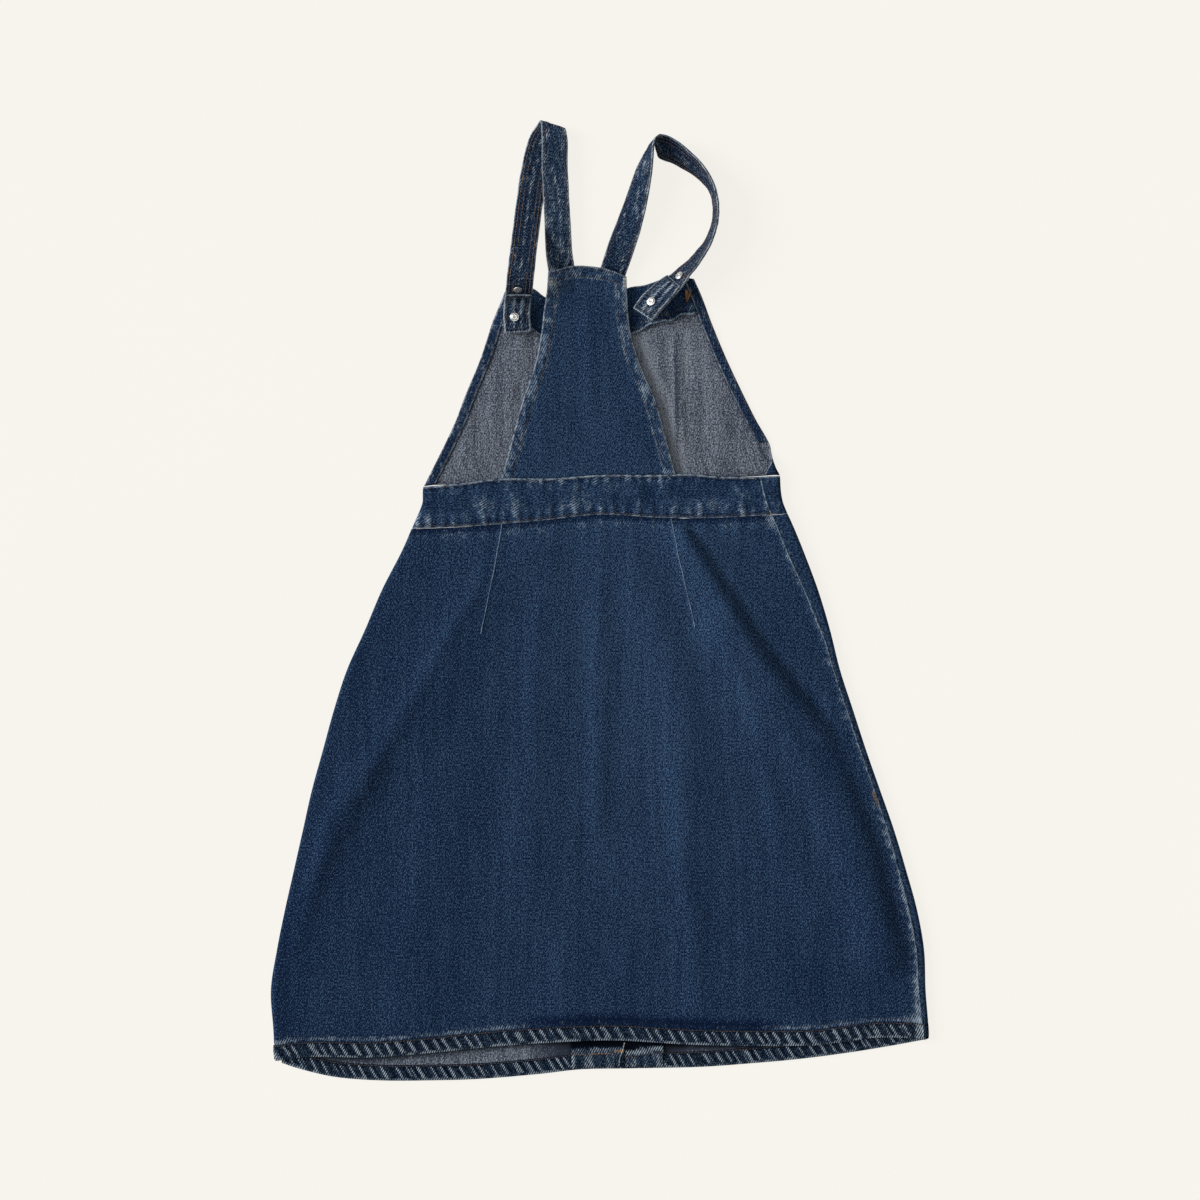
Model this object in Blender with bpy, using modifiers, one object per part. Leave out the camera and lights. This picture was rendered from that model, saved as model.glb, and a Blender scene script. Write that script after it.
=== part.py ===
"""Denim pinafore dress, laid face down on a flat surface with its back uppermost.

The tables below are in millimetres. X runs across the dress, towards the wearer's right side,
Y runs up it, towards the shoulders, and Z is the height above the surface that it lies on.
The cloth of the skirt and waistband is a flattened tube with a rounded fold down each side:
the front lies on the surface, and the back lies over it on a few millimetres of air.
"""
import math
from collections import namedtuple

import bmesh
import bpy
from mathutils import Matrix, Vector

MM = 0.001
GAP = 0.3                 # between two pieces that are sewn or laid together
CLOTH = 1.2               # one layer of the denim, with its nap
BAND = 2.0                # the waistband, two layers
BIB = 1.6                 # the back bib, with its turned edges
FACING = 0.9              # a facing on the inside of a panel
STRAP_WIDTH = 27.0
STRAP = 2.4               # a strap, two layers with their edges turned in
STRAP_TAB = 2.2           # what the turned-back end of a strap adds to it
STRAP_TAB_LENGTH = 45.5
FACING_WIDTH = 10.5       # the facing along each armhole
EDGE_INSET = 0.6          # a facing stops this far inside the edge that it is sewn to
UNDER_LEFT = 3.0          # the back panel ends this far past the left fold, on the underside
Tack = namedtuple("Tack", "label side from_end sideways")
TACKS = [                 # each button's place on its strap, sideways towards edge b
    Tack("left_lower", "left", 15.0, -2.3),
    Tack("left_upper", "left", 53.0, -1.1),
    Tack("right_lower", "right", 15.0, -0.6),
    Tack("right_upper", "right", 53.0, 0.0),
]
THROUGH = "left_lower"    # the button that is through its buttonhole
TACK_HEAD_R, TACK_HEAD = 8.5, 2.8
TACK_SHANK_R = 1.6
TACK_BACK_R, TACK_BACK = 4.6, 1.3
LOOSE_SHANK = 1.6         # from a button's head to the strap, where nothing is buttoned
HEAD_CLEAR = 0.2          # under the face of the head that is through the buttonhole
FLAT_HALF = 5.0           # half of the flat place that a strap has under a button
BIB_LIFT = 3.4            # the front bib over the head of the button that is through it
LIFT_FLAT, LIFT_END = 9.8, 31.0     # radii where that lift is full, and where it ends
EYE_R = 2.3               # the round end of a buttonhole
SLIT, SLIT_LENGTH = 1.3, 16.0

DENIM = (0.016, 0.036, 0.082, 1.0)
DENIM_INSIDE = (0.10, 0.12, 0.155, 1.0)
TACK_METAL = (0.62, 0.60, 0.56, 1.0)

# ---------------------------------------------------------------- outlines

Side = namedtuple("Side", "y left right fold_radius")
SIDES = [                 # the two folds of the skirt and waistband, seen from above
    Side(124, -176.5, 180, 4.2),
    Side(108, -177.5, 181, 4.2),
    Side(96, -178, 183.5, 4.2),
    Side(72, -188, 194, 4.2),
    Side(50, -197.5, 203, 4.0),
    Side(10, -218, 218, 3.6),
    Side(-30, -235, 230, 3.6),
    Side(-70, -253, 240, 3.6),
    Side(-110, -266, 253, 3.6),
    Side(-150, -277, 266, 3.6),
    Side(-190, -288, 280, 3.6),
    Side(-230, -297, 294, 3.6),
    Side(-270, -306, 306, 3.6),
    Side(-310, -315, 317, 3.6),
    Side(-350, -323, 324, 3.6),
    Side(-390, -329, 325.5, 3.6),
    Side(-430, -326.5, 328.5, 3.6),
    Side(-460, -325, 328.5, 3.6),
]

SideSeam = namedtuple("SideSeam", "y inset")
RIGHT_SEAM = [            # the right side seam lies on the back, this far in from the fold
    SideSeam(124, 19),
    SideSeam(100, 16),
    SideSeam(40, 15.5),
    SideSeam(-20, 10),
    SideSeam(-50, 6.5),
    SideSeam(-190, 5.2),
    SideSeam(-300, 7.5),
    SideSeam(-340, 7.5),
    SideSeam(-440, 5.2),
]

Point = namedtuple("Point", "x y")
WAISTBAND_TOP = [
    Point(-177, 113), Point(-140, 116.5), Point(-100, 121.5), Point(-50, 121.5), Point(0, 125),
    Point(55, 125), Point(90, 126), Point(120, 123.5), Point(162, 123), Point(181, 124),
]
WAIST_SEAM = [
    Point(-188, 71), Point(-120, 74), Point(-60, 79), Point(0, 85), Point(60, 82),
    Point(120, 82), Point(187, 86),
]
BACK_HEM = [
    Point(-324, -460), Point(-290, -456), Point(-230, -456.5), Point(-170, -452), Point(-100, -445),
    Point(-20, -440), Point(20, -439.5), Point(100, -444), Point(210, -444.5), Point(250, -440),
    Point(280, -436.5), Point(328, -438),
]
FRONT_HEM = [
    Point(-324, -460), Point(-300, -468), Point(-265, -476), Point(-220, -479.5),
    Point(-170, -479.5), Point(-120, -478), Point(-60, -473), Point(-20, -468.5), Point(30, -467.5),
    Point(100, -466), Point(150, -462.5), Point(200, -458), Point(250, -451.5), Point(290, -445),
    Point(328, -438),
]
FRONT_WAISTBAND_TOP = [Point(-177, 113), Point(181, 124)]
FRONT_BIB_BOTTOM = [Point(-177, 113.6), Point(-165, 115), Point(150, 123.4), Point(181, 125.4)]
FRONT_WAIST_SEAM = [Point(-188, 71), Point(194, 86)]
CENTRE_FRONT = [Point(10, 92), Point(21, -480)]       # y is the height, x the place of the seam
FRONT_FACING_LEFT = (-49.0, 4.5)                      # from the centre-front seam
FRONT_FACING_RIGHT = (4.8, 43.0)

BibEdge = namedtuple("BibEdge", "y x")
BACK_BIB_TOP = [
    Point(-52, 327.6), Point(-44, 329.8), Point(-26, 334.0), Point(0, 332.3), Point(14, 328.5),
    Point(26.5, 323),
]
BACK_BIB_LEFT = [
    BibEdge(328, -52), BibEdge(310, -53), BibEdge(290, -56), BibEdge(265, -59), BibEdge(235, -65),
    BibEdge(200, -77), BibEdge(160, -88), BibEdge(121, -98.5),
]
BACK_BIB_RIGHT = [
    BibEdge(323, 26.5), BibEdge(290, 28), BibEdge(265, 31), BibEdge(235, 40), BibEdge(200, 55),
    BibEdge(165, 65), BibEdge(126, 75.5),
]
BACK_BIB_HEIGHT = [BibEdge(120, 8.4), BibEdge(170, 8.9), BibEdge(270, 8.9), BibEdge(334, 8.3)]

FrontBib = namedtuple("FrontBib", "y left right wrap")
FRONT_BIB = [             # wrap: how much cloth rolls up over the right side fold
    FrontBib(321, -91, 94, 0),
    FrontBib(303, -97, 102, 0),
    FrontBib(276, -108, 112, 0),
    FrontBib(240, -120, 127, 0),
    FrontBib(204, -135, 144, 0),
    FrontBib(180, -144, 156, 0),
    FrontBib(156, -155, 169.5, 0),
    FrontBib(144, -161, 172, 6),
    FrontBib(132, -167, 176, 17),
    FrontBib(124, -171, 180, 24),
    FrontBib(113, -176.5, 180, 24),
]
FRONT_BIB_TOP = [
    Point(-94, 308), Point(-80, 312.5), Point(-67, 311.5), Point(-55, 303), Point(-40, 298),
    Point(-10, 297), Point(15, 304), Point(28, 312), Point(45, 315), Point(60, 320),
    Point(75, 324), Point(94, 321),
]
TOP_FACING_EDGE = [
    Point(-97, 274), Point(-67, 270), Point(-60, 265), Point(-40, 258), Point(-10, 257),
    Point(15, 260), Point(31, 265), Point(45, 272), Point(55, 277), Point(70, 279),
    Point(80, 284), Point(100, 287),
]

Buttonhole = namedtuple("Buttonhole", "side x y lean")
BUTTONHOLES = [           # the place of the round end, and the slit's lean from upright
    Buttonhole("left", -85.5, 283.3, 4.0),
    Buttonhole("right", 87.0, 299.0, -9.0),
]

Fold = namedtuple("Fold", "name x0 y0 x1 y1 x2 y2 half_width height")
FOLDS = [                 # ridges of the skirt's back, and troughs where the height is negative
    Fold("left ridge, waist", -98, 44, -157, -64, -192, -120, 28, 5.0),
    Fold("left ridge, hem", -232, -172, -272, -236, -311, -315, 20, 7.0),
    Fold("right ridge, waist", 84, 62, 132, -30, 169, -94, 24, 8.0),
    Fold("right ridge, hem", 187, -126, 240, -215, 282, -350, 24, 7.0),
    Fold("centre ridge", 0, 80, -3, -80, -6, -220, 15, 2.6),
    Fold("right of centre", 22, 76, 72, -60, 96, -200, 24, 4.2),
    Fold("low right", 76, -180, 86, -290, 100, -405, 16, 3.0),
    Fold("outer right", 116, -30, 152, -130, 214, -310, 20, 3.0),
    Fold("left of centre", -58, 60, -60, -110, -74, -300, 22, 2.2),
    Fold("low left", -150, -180, -170, -300, -190, -420, 30, 3.0),
    Fold("hem, middle", -40, -330, -30, -390, -20, -440, 40, 2.4),
]
FOLD_FADE = 26.0          # the folds die out over this distance from the side folds
WAIST_FADE = 34.0         # and over this distance below the waistband

# ------------------------------------------------------- the straps' routes

Strap = namedtuple("Strap", "ax ay az bx by bz")
LEFT_STRAP = [            # edges a and b of the strap, from the back bib to the front bib
    Strap(-52, 328.9, 7.3, -26, 335.4, 7.3),
    Strap(-54.5, 352, 8.2, -28, 354, 8.2),
    Strap(-56, 390, 9.0, -30, 391, 9.0),
    Strap(-58, 430, 10.0, -32, 430, 10.0),
    Strap(-58, 458, 10.2, -32, 456, 10.2),
    Strap(-58.8, 473.6, 10.0, -33.2, 465.8, 10.0),
    Strap(-59.4, 477.4, 8.7, -34.1, 469.1, 8.7),
    Strap(-60, 478.8, 5.7, -35.1, 470.5, 5.7),
    Strap(-61, 477.4, 2.9, -36.4, 468.6, 2.9),
    Strap(-62.6, 473.6, 1.6, -38.6, 463.6, 1.6),
    Strap(-67.4, 466.4, 1.4, -44, 454, 1.4),
    Strap(-73, 454, 1.4, -48, 445, 1.4),
    Strap(-77.5, 438, 1.5, -51.5, 432, 1.5),
    Strap(-81, 418, 2.2, -54.5, 414, 2.2),
    Strap(-84, 396, 5.5, -57.5, 393, 5.5),
    Strap(-87, 370, 15.5, -60.5, 368, 15.5),
    Strap(-89.5, 348, 28.0, -63, 347, 28.0),
    Strap(-91.5, 333, 35.5, -64.5, 332, 35.5),
    Strap(-92.8, 322, 37.0, -65.8, 322, 37.0),
    Strap(-93.6, 314.5, 33.5, -66.6, 314.5, 33.5),
    Strap(-94.4, 308, 24.0, -67.4, 308, 24.0),
    Strap(-95.6, 301.5, 13.0, -68.4, 301.5, 13.0),
    Strap(-96.4, 295.5, 8.6, -69, 296, 8.6),
    Strap(-97, 283, 8.0, -69.5, 283.5, 8.0),
    Strap(-95.5, 267, 8.0, -68.5, 269, 8.0),
]
RIGHT_STRAP = [
    Strap(1, 333.5, 7.3, 26, 325.4, 7.3),
    Strap(11, 364, 6.0, 36, 354.5, 11.5),
    Strap(21, 388.5, 3.5, 43.5, 380, 16.5),
    Strap(29.5, 411.5, 1.6, 48.5, 405.5, 19.9),
    Strap(36.5, 430.5, 1.4, 51.5, 426, 23.0),
    Strap(42, 441.5, 1.4, 52.5, 438.5, 25.8),
    Strap(46.8, 449.5, 1.4, 53, 447.5, 27.5),
    Strap(50.5, 455.5, 1.4, 53.6, 455.5, 28.0),
    Strap(54.8, 457.5, 1.6, 55.6, 461, 27.8),
    Strap(59, 451.5, 2.2, 58.6, 463.8, 25.6),
    Strap(61.8, 444, 2.6, 62.6, 465, 18.8),
    Strap(66, 439.5, 2.6, 68.8, 463.5, 14.0),
    Strap(71.8, 437, 2.2, 78.5, 457, 18.8),
    Strap(80.5, 432.6, 1.8, 89.5, 447.6, 22.0),
    Strap(91.5, 426.5, 1.4, 100, 437, 24.6),
    Strap(102, 418, 1.4, 109, 424, 26.8),
    Strap(110, 408, 1.4, 115, 410, 27.9),
    Strap(113.4, 394, 1.4, 117.8, 394, 28.1),
    Strap(112.4, 377.5, 1.4, 117, 376.5, 28.0),
    Strap(106, 360.5, 1.5, 111.5, 357.5, 27.6),
    Strap(98, 350, 1.8, 104.5, 344.5, 27.4),
    Strap(88.5, 339.5, 2.4, 96, 331.5, 27.0),
    Strap(80.5, 333, 3.2, 90, 324, 26.2),
    Strap(71.5, 325.5, 4.6, 83.5, 314, 25.0),
    Strap(60, 318.5, 5.6, 76, 304.5, 21.8),
    Strap(50.5, 311, 6.4, 68, 295.5, 18.8),
    Strap(42.2, 303.5, 7.0, 60.5, 287.5, 17.6),
    Strap(34, 291.8, 7.4, 53.5, 278.5, 17.6),
]

# ------------------------------------------------------------- mesh stations

SKIRT_ROWS = 20
BACK_COLUMNS = 28
ARC_STEPS = 4
BAND_ROWS = 3
BAND_COLUMNS = 18
BACK_BIB_ROWS, BACK_BIB_COLUMNS = 10, 6
FACING_SEAM = FACING_WIDTH + GAP / 2
FRONT_BIB_LEFT = (0, 5.5, FACING_SEAM, 17, 25, 33, 41)           # from the left edge
FRONT_BIB_MIDDLE = 7                                            # even steps between the two
FRONT_BIB_RIGHT = (30, 24, 19, 14.5, FACING_SEAM, 7, 3.5, 0)     # from the right edge
TOP_FACING_ROWS = (0, .2, .4, .6, .8, 1)
LOWER_BIB_ROWS = (.06, .12, .19, .29, .41, .53, .65, .73, .8, .86, .91, .955, 1)
FLAT_BIB_ROWS = LOWER_BIB_ROWS[:9]        # above the roll at the right side fold


# ------------------------------------------------------------------- helpers

def lerp(a, b, t):
    return a + (b - a) * t


def smoothstep(t):
    t = min(max(t, 0.0), 1.0)
    return t * t * (3.0 - 2.0 * t)


def smooth(table, at, key, value):
    """Read a smooth curve through a table's points, held level past its two ends."""
    rows = sorted(table, key=lambda row: getattr(row, key))
    xs = [getattr(row, key) for row in rows]
    ys = [getattr(row, value) for row in rows]
    if at <= xs[0]:
        return ys[0]
    if at >= xs[-1]:
        return ys[-1]
    i = max(k for k in range(len(xs) - 1) if xs[k] <= at)
    width = xs[i + 1] - xs[i]
    slope = (ys[i + 1] - ys[i]) / width
    start, end = slope, slope
    if i > 0:
        start = (ys[i + 1] - ys[i - 1]) / (xs[i + 1] - xs[i - 1])
    if i < len(xs) - 2:
        end = (ys[i + 2] - ys[i]) / (xs[i + 2] - xs[i])
    t = (at - xs[i]) / width
    ease = t * t * (3 - 2 * t)
    return (lerp(ys[i], ys[i + 1], ease) + width * start * t * (1 - t) ** 2
            - width * end * t * t * (1 - t))


def left_at(y):
    return smooth(SIDES, y, "y", "left")


def right_at(y):
    return smooth(SIDES, y, "y", "right")


def fold_radius(y):
    return smooth(SIDES, y, "y", "fold_radius")


def seam_at(y):
    return right_at(y) - smooth(RIGHT_SEAM, y, "y", "inset")


def line(table, x):
    return smooth(table, x, "x", "y")


def centre_front(y):
    return smooth(CENTRE_FRONT, y, "y", "x")


def distance_to_fold(fold, x, y):
    """Distance from a point to a fold's line of two straight runs."""
    corners = (Vector((fold.x0, fold.y0)), Vector((fold.x1, fold.y1)), Vector((fold.x2, fold.y2)))
    point = Vector((x, y))
    best = math.inf
    for a, b in zip(corners, corners[1:]):
        run = b - a
        t = min(max((point - a).dot(run) / run.length_squared, 0.0), 1.0)
        best = min(best, (point - a - run * t).length)
    return best


def back_height(x, y):
    """Height of the outer face of the skirt's and waistband's back."""
    radius = fold_radius(y)
    inside = min(x - left_at(y) - radius, right_at(y) - radius - x)
    below = line(WAIST_SEAM, x) - y
    folds = sum(f.height * math.exp(-(distance_to_fold(f, x, y) / f.half_width) ** 2) for f in FOLDS)
    return 2 * radius + folds * smoothstep(inside / FOLD_FADE) * smoothstep(below / WAIST_FADE)


def bib_lift(x, y):
    """Height of the front bib's underside, raised over the button that is through it."""
    hole = BUTTONHOLES[0]
    distance = math.hypot(x - hole.x, y - hole.y)
    return BIB_LIFT * smoothstep((LIFT_END - distance) / (LIFT_END - LIFT_FLAT))


# --------------------------------------------------------- objects and shells

def clear_scene():
    for thing in list(bpy.data.objects):
        bpy.data.objects.remove(thing, do_unlink=True)


def new_collection(name):
    collection = bpy.data.collections.new(name)
    bpy.context.scene.collection.children.link(collection)
    return collection


def new_material(name, colour, roughness, metallic=0.0):
    material = bpy.data.materials.new(name)
    material.use_nodes = True
    shader = material.node_tree.nodes["Principled BSDF"]
    shader.inputs["Base Color"].default_value = colour
    shader.inputs["Roughness"].default_value = roughness
    shader.inputs["Metallic"].default_value = metallic
    return material


def new_object(name, mesh, collection, colour, roughness=0.9, metallic=0.0):
    thing = bpy.data.objects.new(name, mesh)
    mesh.materials.append(new_material(name, colour, roughness, metallic))
    collection.objects.link(thing)
    return thing


def grid_mesh(name, grid):
    """A mesh of quads through rows of points, in millimetres."""
    bm = bmesh.new()
    rows = [[bm.verts.new(Vector(point) * MM) for point in row] for row in grid]
    for upper, lower in zip(rows, rows[1:]):
        for i in range(len(upper) - 1):
            bm.faces.new((upper[i], lower[i], lower[i + 1], upper[i + 1]))
    mesh = bpy.data.meshes.new(name)
    bm.to_mesh(mesh)
    bm.free()
    return mesh


def shell(name, grid, thickness, collection, colour):
    """A wall of cloth: the grid is its outer face, and the wall lies behind it."""
    thing = new_object(name, grid_mesh(name, grid), collection, colour)
    solid = thing.modifiers.new("Thickness", "SOLIDIFY")
    solid.thickness = thickness * MM
    solid.offset = -1.0
    solid.use_even_offset = True
    return thing


# ------------------------------------------------- sections across the tube

def arc_point(centre_x, side, radius, angle):
    """A point of a side fold: 0 at the underside, pi on top; side is -1 left, +1 right."""
    return centre_x + side * radius * math.sin(angle), radius - radius * math.cos(angle)


def back_stations(columns):
    """Stations of a back piece, from the left seam round the left fold to the right seam."""
    stations = [("under", 1.0), ("under", 0.0)]
    stations += [("arc", math.pi * k / ARC_STEPS) for k in range(1, ARC_STEPS)]
    return stations + [("top", k / columns) for k in range(columns + 1)]


def back_x(station, y):
    kind, value = station
    start = left_at(y) + fold_radius(y)
    if kind == "under":
        return start + UNDER_LEFT * value
    if kind == "arc":
        return arc_point(start, -1, fold_radius(y), value)[0]
    return lerp(start, seam_at(y), value)


def back_point(station, y):
    kind, value = station
    x = back_x(station, y)
    if kind == "under":
        return x, y, 0.0
    if kind == "arc":
        return x, y, arc_point(0, -1, fold_radius(y), value)[1]
    return x, y, back_height(x, y)


def front_stations(columns):
    """Stations of a front piece, from its inner edge round the right fold to the side seam."""
    stations = [("flat", k / columns) for k in range(columns + 1)]
    stations += [("arc", math.pi * k / ARC_STEPS) for k in range(1, ARC_STEPS)]
    return stations + [("over", 0.0), ("over", 1.0)]


def front_x(station, y, inner):
    kind, value = station
    tangent = right_at(y) - fold_radius(y)
    if kind == "flat":
        return lerp(inner(y), tangent, value)
    if kind == "arc":
        return arc_point(tangent, 1, fold_radius(y), value)[0]
    return lerp(tangent, seam_at(y) + GAP, value)


def front_point(station, y, inner):
    kind, value = station
    height = 0.0
    if kind == "arc":
        height = arc_point(0, 1, fold_radius(y), value)[1]
    if kind == "over":
        height = 2 * fold_radius(y)
    return front_x(station, y, inner), y, height


def rows_between(stations, x_of, point_of, top, bottom, count):
    """Rows of points between two lines across the cloth, top and bottom, each y as a rule of x."""
    ends = []
    for station in stations:
        y_top, y_bottom = top(0.0), bottom(0.0)
        for _ in range(3):
            y_top, y_bottom = top(x_of(station, y_top)), bottom(x_of(station, y_bottom))
        ends.append((y_top, y_bottom))
    return [[point_of(station, lerp(y_top, y_bottom, row / count))
             for station, (y_top, y_bottom) in zip(stations, ends)] for row in range(count + 1)]


# -------------------------------------------------------------------- skirt

def build_skirt(parts):
    half = GAP / 2
    back = back_stations(BACK_COLUMNS)
    grid = rows_between(back, back_x, back_point, lambda x: line(WAIST_SEAM, x) - half,
                        lambda x: line(BACK_HEM, x), SKIRT_ROWS)
    shell("skirt_back", grid, CLOTH, parts, DENIM)

    def right_inner(y):
        return centre_front(y) + half

    front = front_stations(3)
    grid = rows_between(front, lambda s, y: front_x(s, y, right_inner),
                        lambda s, y: front_point(s, y, right_inner),
                        lambda x: line(FRONT_WAIST_SEAM, x) - half,
                        lambda x: line(FRONT_HEM, x), SKIRT_ROWS)
    shell("skirt_front_right", flip(grid), CLOTH, parts, DENIM)

    grid = flat_panel(lambda y: left_at(y) + fold_radius(y) + UNDER_LEFT + GAP,
                      lambda y: centre_front(y) - half, 4, SKIRT_ROWS,
                      lambda x: line(FRONT_WAIST_SEAM, x) - half, lambda x: line(FRONT_HEM, x), 0.0)
    shell("skirt_front_left", flip(grid), CLOTH, parts, DENIM)


def flip(grid):
    return [row[::-1] for row in grid]


def flat_panel(left, right, columns, rows, top, bottom, height):
    """A flat piece between two side lines, each x as a rule of y, and two lines across it."""
    stations = [k / columns for k in range(columns + 1)]
    return rows_between(stations, lambda s, y: lerp(left(y), right(y), s),
                        lambda s, y: (lerp(left(y), right(y), s), y, height), top, bottom, rows)


def build_front_facings(parts):
    """The two facings of the centre-front closing, on the inside of the skirt's front."""
    for side, (near, far) in (("left", FRONT_FACING_LEFT), ("right", FRONT_FACING_RIGHT)):
        grid = flat_panel(lambda y, d=near: centre_front(y) + d, lambda y, d=far: centre_front(y) + d,
                          1, 6, lambda x: line(FRONT_WAIST_SEAM, x) - GAP,
                          lambda x: line(FRONT_HEM, x) + EDGE_INSET, CLOTH + GAP)
        shell("front_facing_" + side, flip(grid), FACING, parts, DENIM)


# ---------------------------------------------------------------- waistband

def build_waistband(parts):
    half = GAP / 2
    back = back_stations(BAND_COLUMNS)
    grid = rows_between(back, back_x, back_point, lambda x: line(WAISTBAND_TOP, x),
                        lambda x: line(WAIST_SEAM, x) + half, BAND_ROWS)
    shell("waistband_back", grid, BAND, parts, DENIM)

    def inner(y):
        return left_at(y) + fold_radius(y) + UNDER_LEFT + GAP

    front = front_stations(4)
    grid = rows_between(front, lambda s, y: front_x(s, y, inner), lambda s, y: front_point(s, y, inner),
                        lambda x: line(FRONT_WAISTBAND_TOP, x),
                        lambda x: line(FRONT_WAIST_SEAM, x) + half, BAND_ROWS)
    shell("waistband_front", flip(grid), BAND, parts, DENIM)


# ----------------------------------------------------------------- back bib

def build_back_bib(parts):
    def left(y):
        return smooth(BACK_BIB_LEFT, y, "y", "x")

    def right(y):
        return smooth(BACK_BIB_RIGHT, y, "y", "x")

    def point(station, y):
        return lerp(left(y), right(y), station), y, smooth(BACK_BIB_HEIGHT, y, "y", "x")

    stations = [k / BACK_BIB_COLUMNS for k in range(BACK_BIB_COLUMNS + 1)]
    grid = rows_between(stations, lambda s, y: lerp(left(y), right(y), s), point,
                        lambda x: line(BACK_BIB_TOP, x),
                        lambda x: line(WAISTBAND_TOP, x) + GAP, BACK_BIB_ROWS)
    shell("bib_back", grid, BIB, parts, DENIM)


# ---------------------------------------------------------------- front bib

def front_bib_width(y):
    """How wide the cloth is, and how far it lies flat before it rolls up at the right."""
    wrap = smooth(FRONT_BIB, y, "y", "wrap")
    radius = fold_radius(y)
    left = smooth(FRONT_BIB, y, "y", "left")
    tangent = smooth(FRONT_BIB, y, "y", "right") - radius * math.sin(min(wrap / radius, math.pi / 2))
    return left, tangent, tangent - left + wrap


def front_bib_point(distance, y, lift):
    """A point of the front bib, its distance across the cloth counted from the left edge."""
    left, tangent, _ = front_bib_width(y)
    x = left + distance
    if x <= tangent:
        return x, y, bib_lift(x, y) + lift
    radius = fold_radius(y)
    angle = (x - tangent) / radius
    if angle <= math.pi:
        x, z = arc_point(tangent, 1, radius - lift, angle)
        return x, y, z + lift
    return tangent - (angle - math.pi) * radius, y, 2 * radius - lift


def front_bib_top(x):
    return line(FRONT_BIB_TOP, x)


def front_bib_middle(x):
    return line(TOP_FACING_EDGE, x)


def front_bib_bottom(x):
    return line(FRONT_BIB_BOTTOM, x)


def front_bib_rows(spans, bands, lift):
    """Rows of the front bib: a span is a column's distance across, as a rule of y, and a band
    is its upper line, its lower line and the stations between them."""
    def plan(span, y):
        left, tangent, _ = front_bib_width(y)
        return min(left + span(y), tangent)

    grid = []
    for top, bottom, stations in bands:
        ends = []
        for span in spans:
            y_top, y_bottom = top(0.0), bottom(0.0)
            for _ in range(4):
                y_top, y_bottom = top(plan(span, y_top)), bottom(plan(span, y_bottom))
            ends.append((y_top, y_bottom))
        for v in stations:
            heights = [lerp(y_top, y_bottom, v) for y_top, y_bottom in ends]
            grid.append([front_bib_point(span(y), y, lift) for span, y in zip(spans, heights)])
    return grid


def front_bib_spans():
    """The columns of the front bib, closer together along its two armholes."""
    spans = [lambda y, d=d: d for d in FRONT_BIB_LEFT]
    first, last = FRONT_BIB_LEFT[-1], FRONT_BIB_RIGHT[0]
    spans += [lambda y, t=k / FRONT_BIB_MIDDLE: lerp(first, front_bib_width(y)[2] - last, t)
              for k in range(1, FRONT_BIB_MIDDLE)]
    return spans + [lambda y, d=d: front_bib_width(y)[2] - d for d in FRONT_BIB_RIGHT]


def shifted(span, by):
    return lambda y: span(y) + by


def build_front_bib(parts, cutters):
    """The front bib, inside uppermost, with the facings that lie on it."""
    spans = front_bib_spans()
    upper = (front_bib_top, front_bib_middle, TOP_FACING_ROWS)
    lower = (front_bib_middle, front_bib_bottom, LOWER_BIB_ROWS)
    grid = front_bib_rows(spans, [upper, lower], 0.0)
    bib = shell("bib_front", flip(grid), CLOTH, parts, DENIM_INSIDE)

    lift = CLOTH + GAP
    inset_upper = (lambda x: front_bib_top(x) - EDGE_INSET, front_bib_middle, TOP_FACING_ROWS)
    inset_lower = (front_bib_middle, lambda x: front_bib_bottom(x) + EDGE_INSET, LOWER_BIB_ROWS)
    above_roll = (front_bib_middle, front_bib_bottom, FLAT_BIB_ROWS)
    left_seam = FRONT_BIB_LEFT.index(FACING_SEAM)
    right_seam = FRONT_BIB_RIGHT.index(FACING_SEAM) - len(FRONT_BIB_RIGHT)
    left = [shifted(spans[0], EDGE_INSET)] + spans[1:left_seam]
    left += [shifted(spans[left_seam], -GAP / 2)]
    right = [shifted(spans[right_seam], GAP / 2)] + spans[right_seam + 1:-1]
    right += [shifted(spans[-1], -EDGE_INSET)]
    for side, edge_spans, rest in (("left", left, inset_lower), ("right", right, above_roll)):
        grid = front_bib_rows(edge_spans, [inset_upper, rest], lift)
        shell("armhole_facing_" + side, flip(grid), FACING, parts, DENIM)

    inner = [shifted(spans[left_seam], GAP / 2)] + spans[left_seam + 1:right_seam]
    inner += [shifted(spans[right_seam], -GAP / 2)]
    grid = front_bib_rows(inner, [inset_upper], lift)
    facing = shell("bib_top_facing", flip(grid), FACING, parts, DENIM)

    for hole in BUTTONHOLES:
        cutter = buttonhole_cutter(hole, cutters)
        for panel in (bib, facing):
            cut = panel.modifiers.new("Buttonhole " + hole.side, "BOOLEAN")
            cut.operation = "DIFFERENCE"
            cut.solver = "EXACT"
            cut.object = cutter


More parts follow.
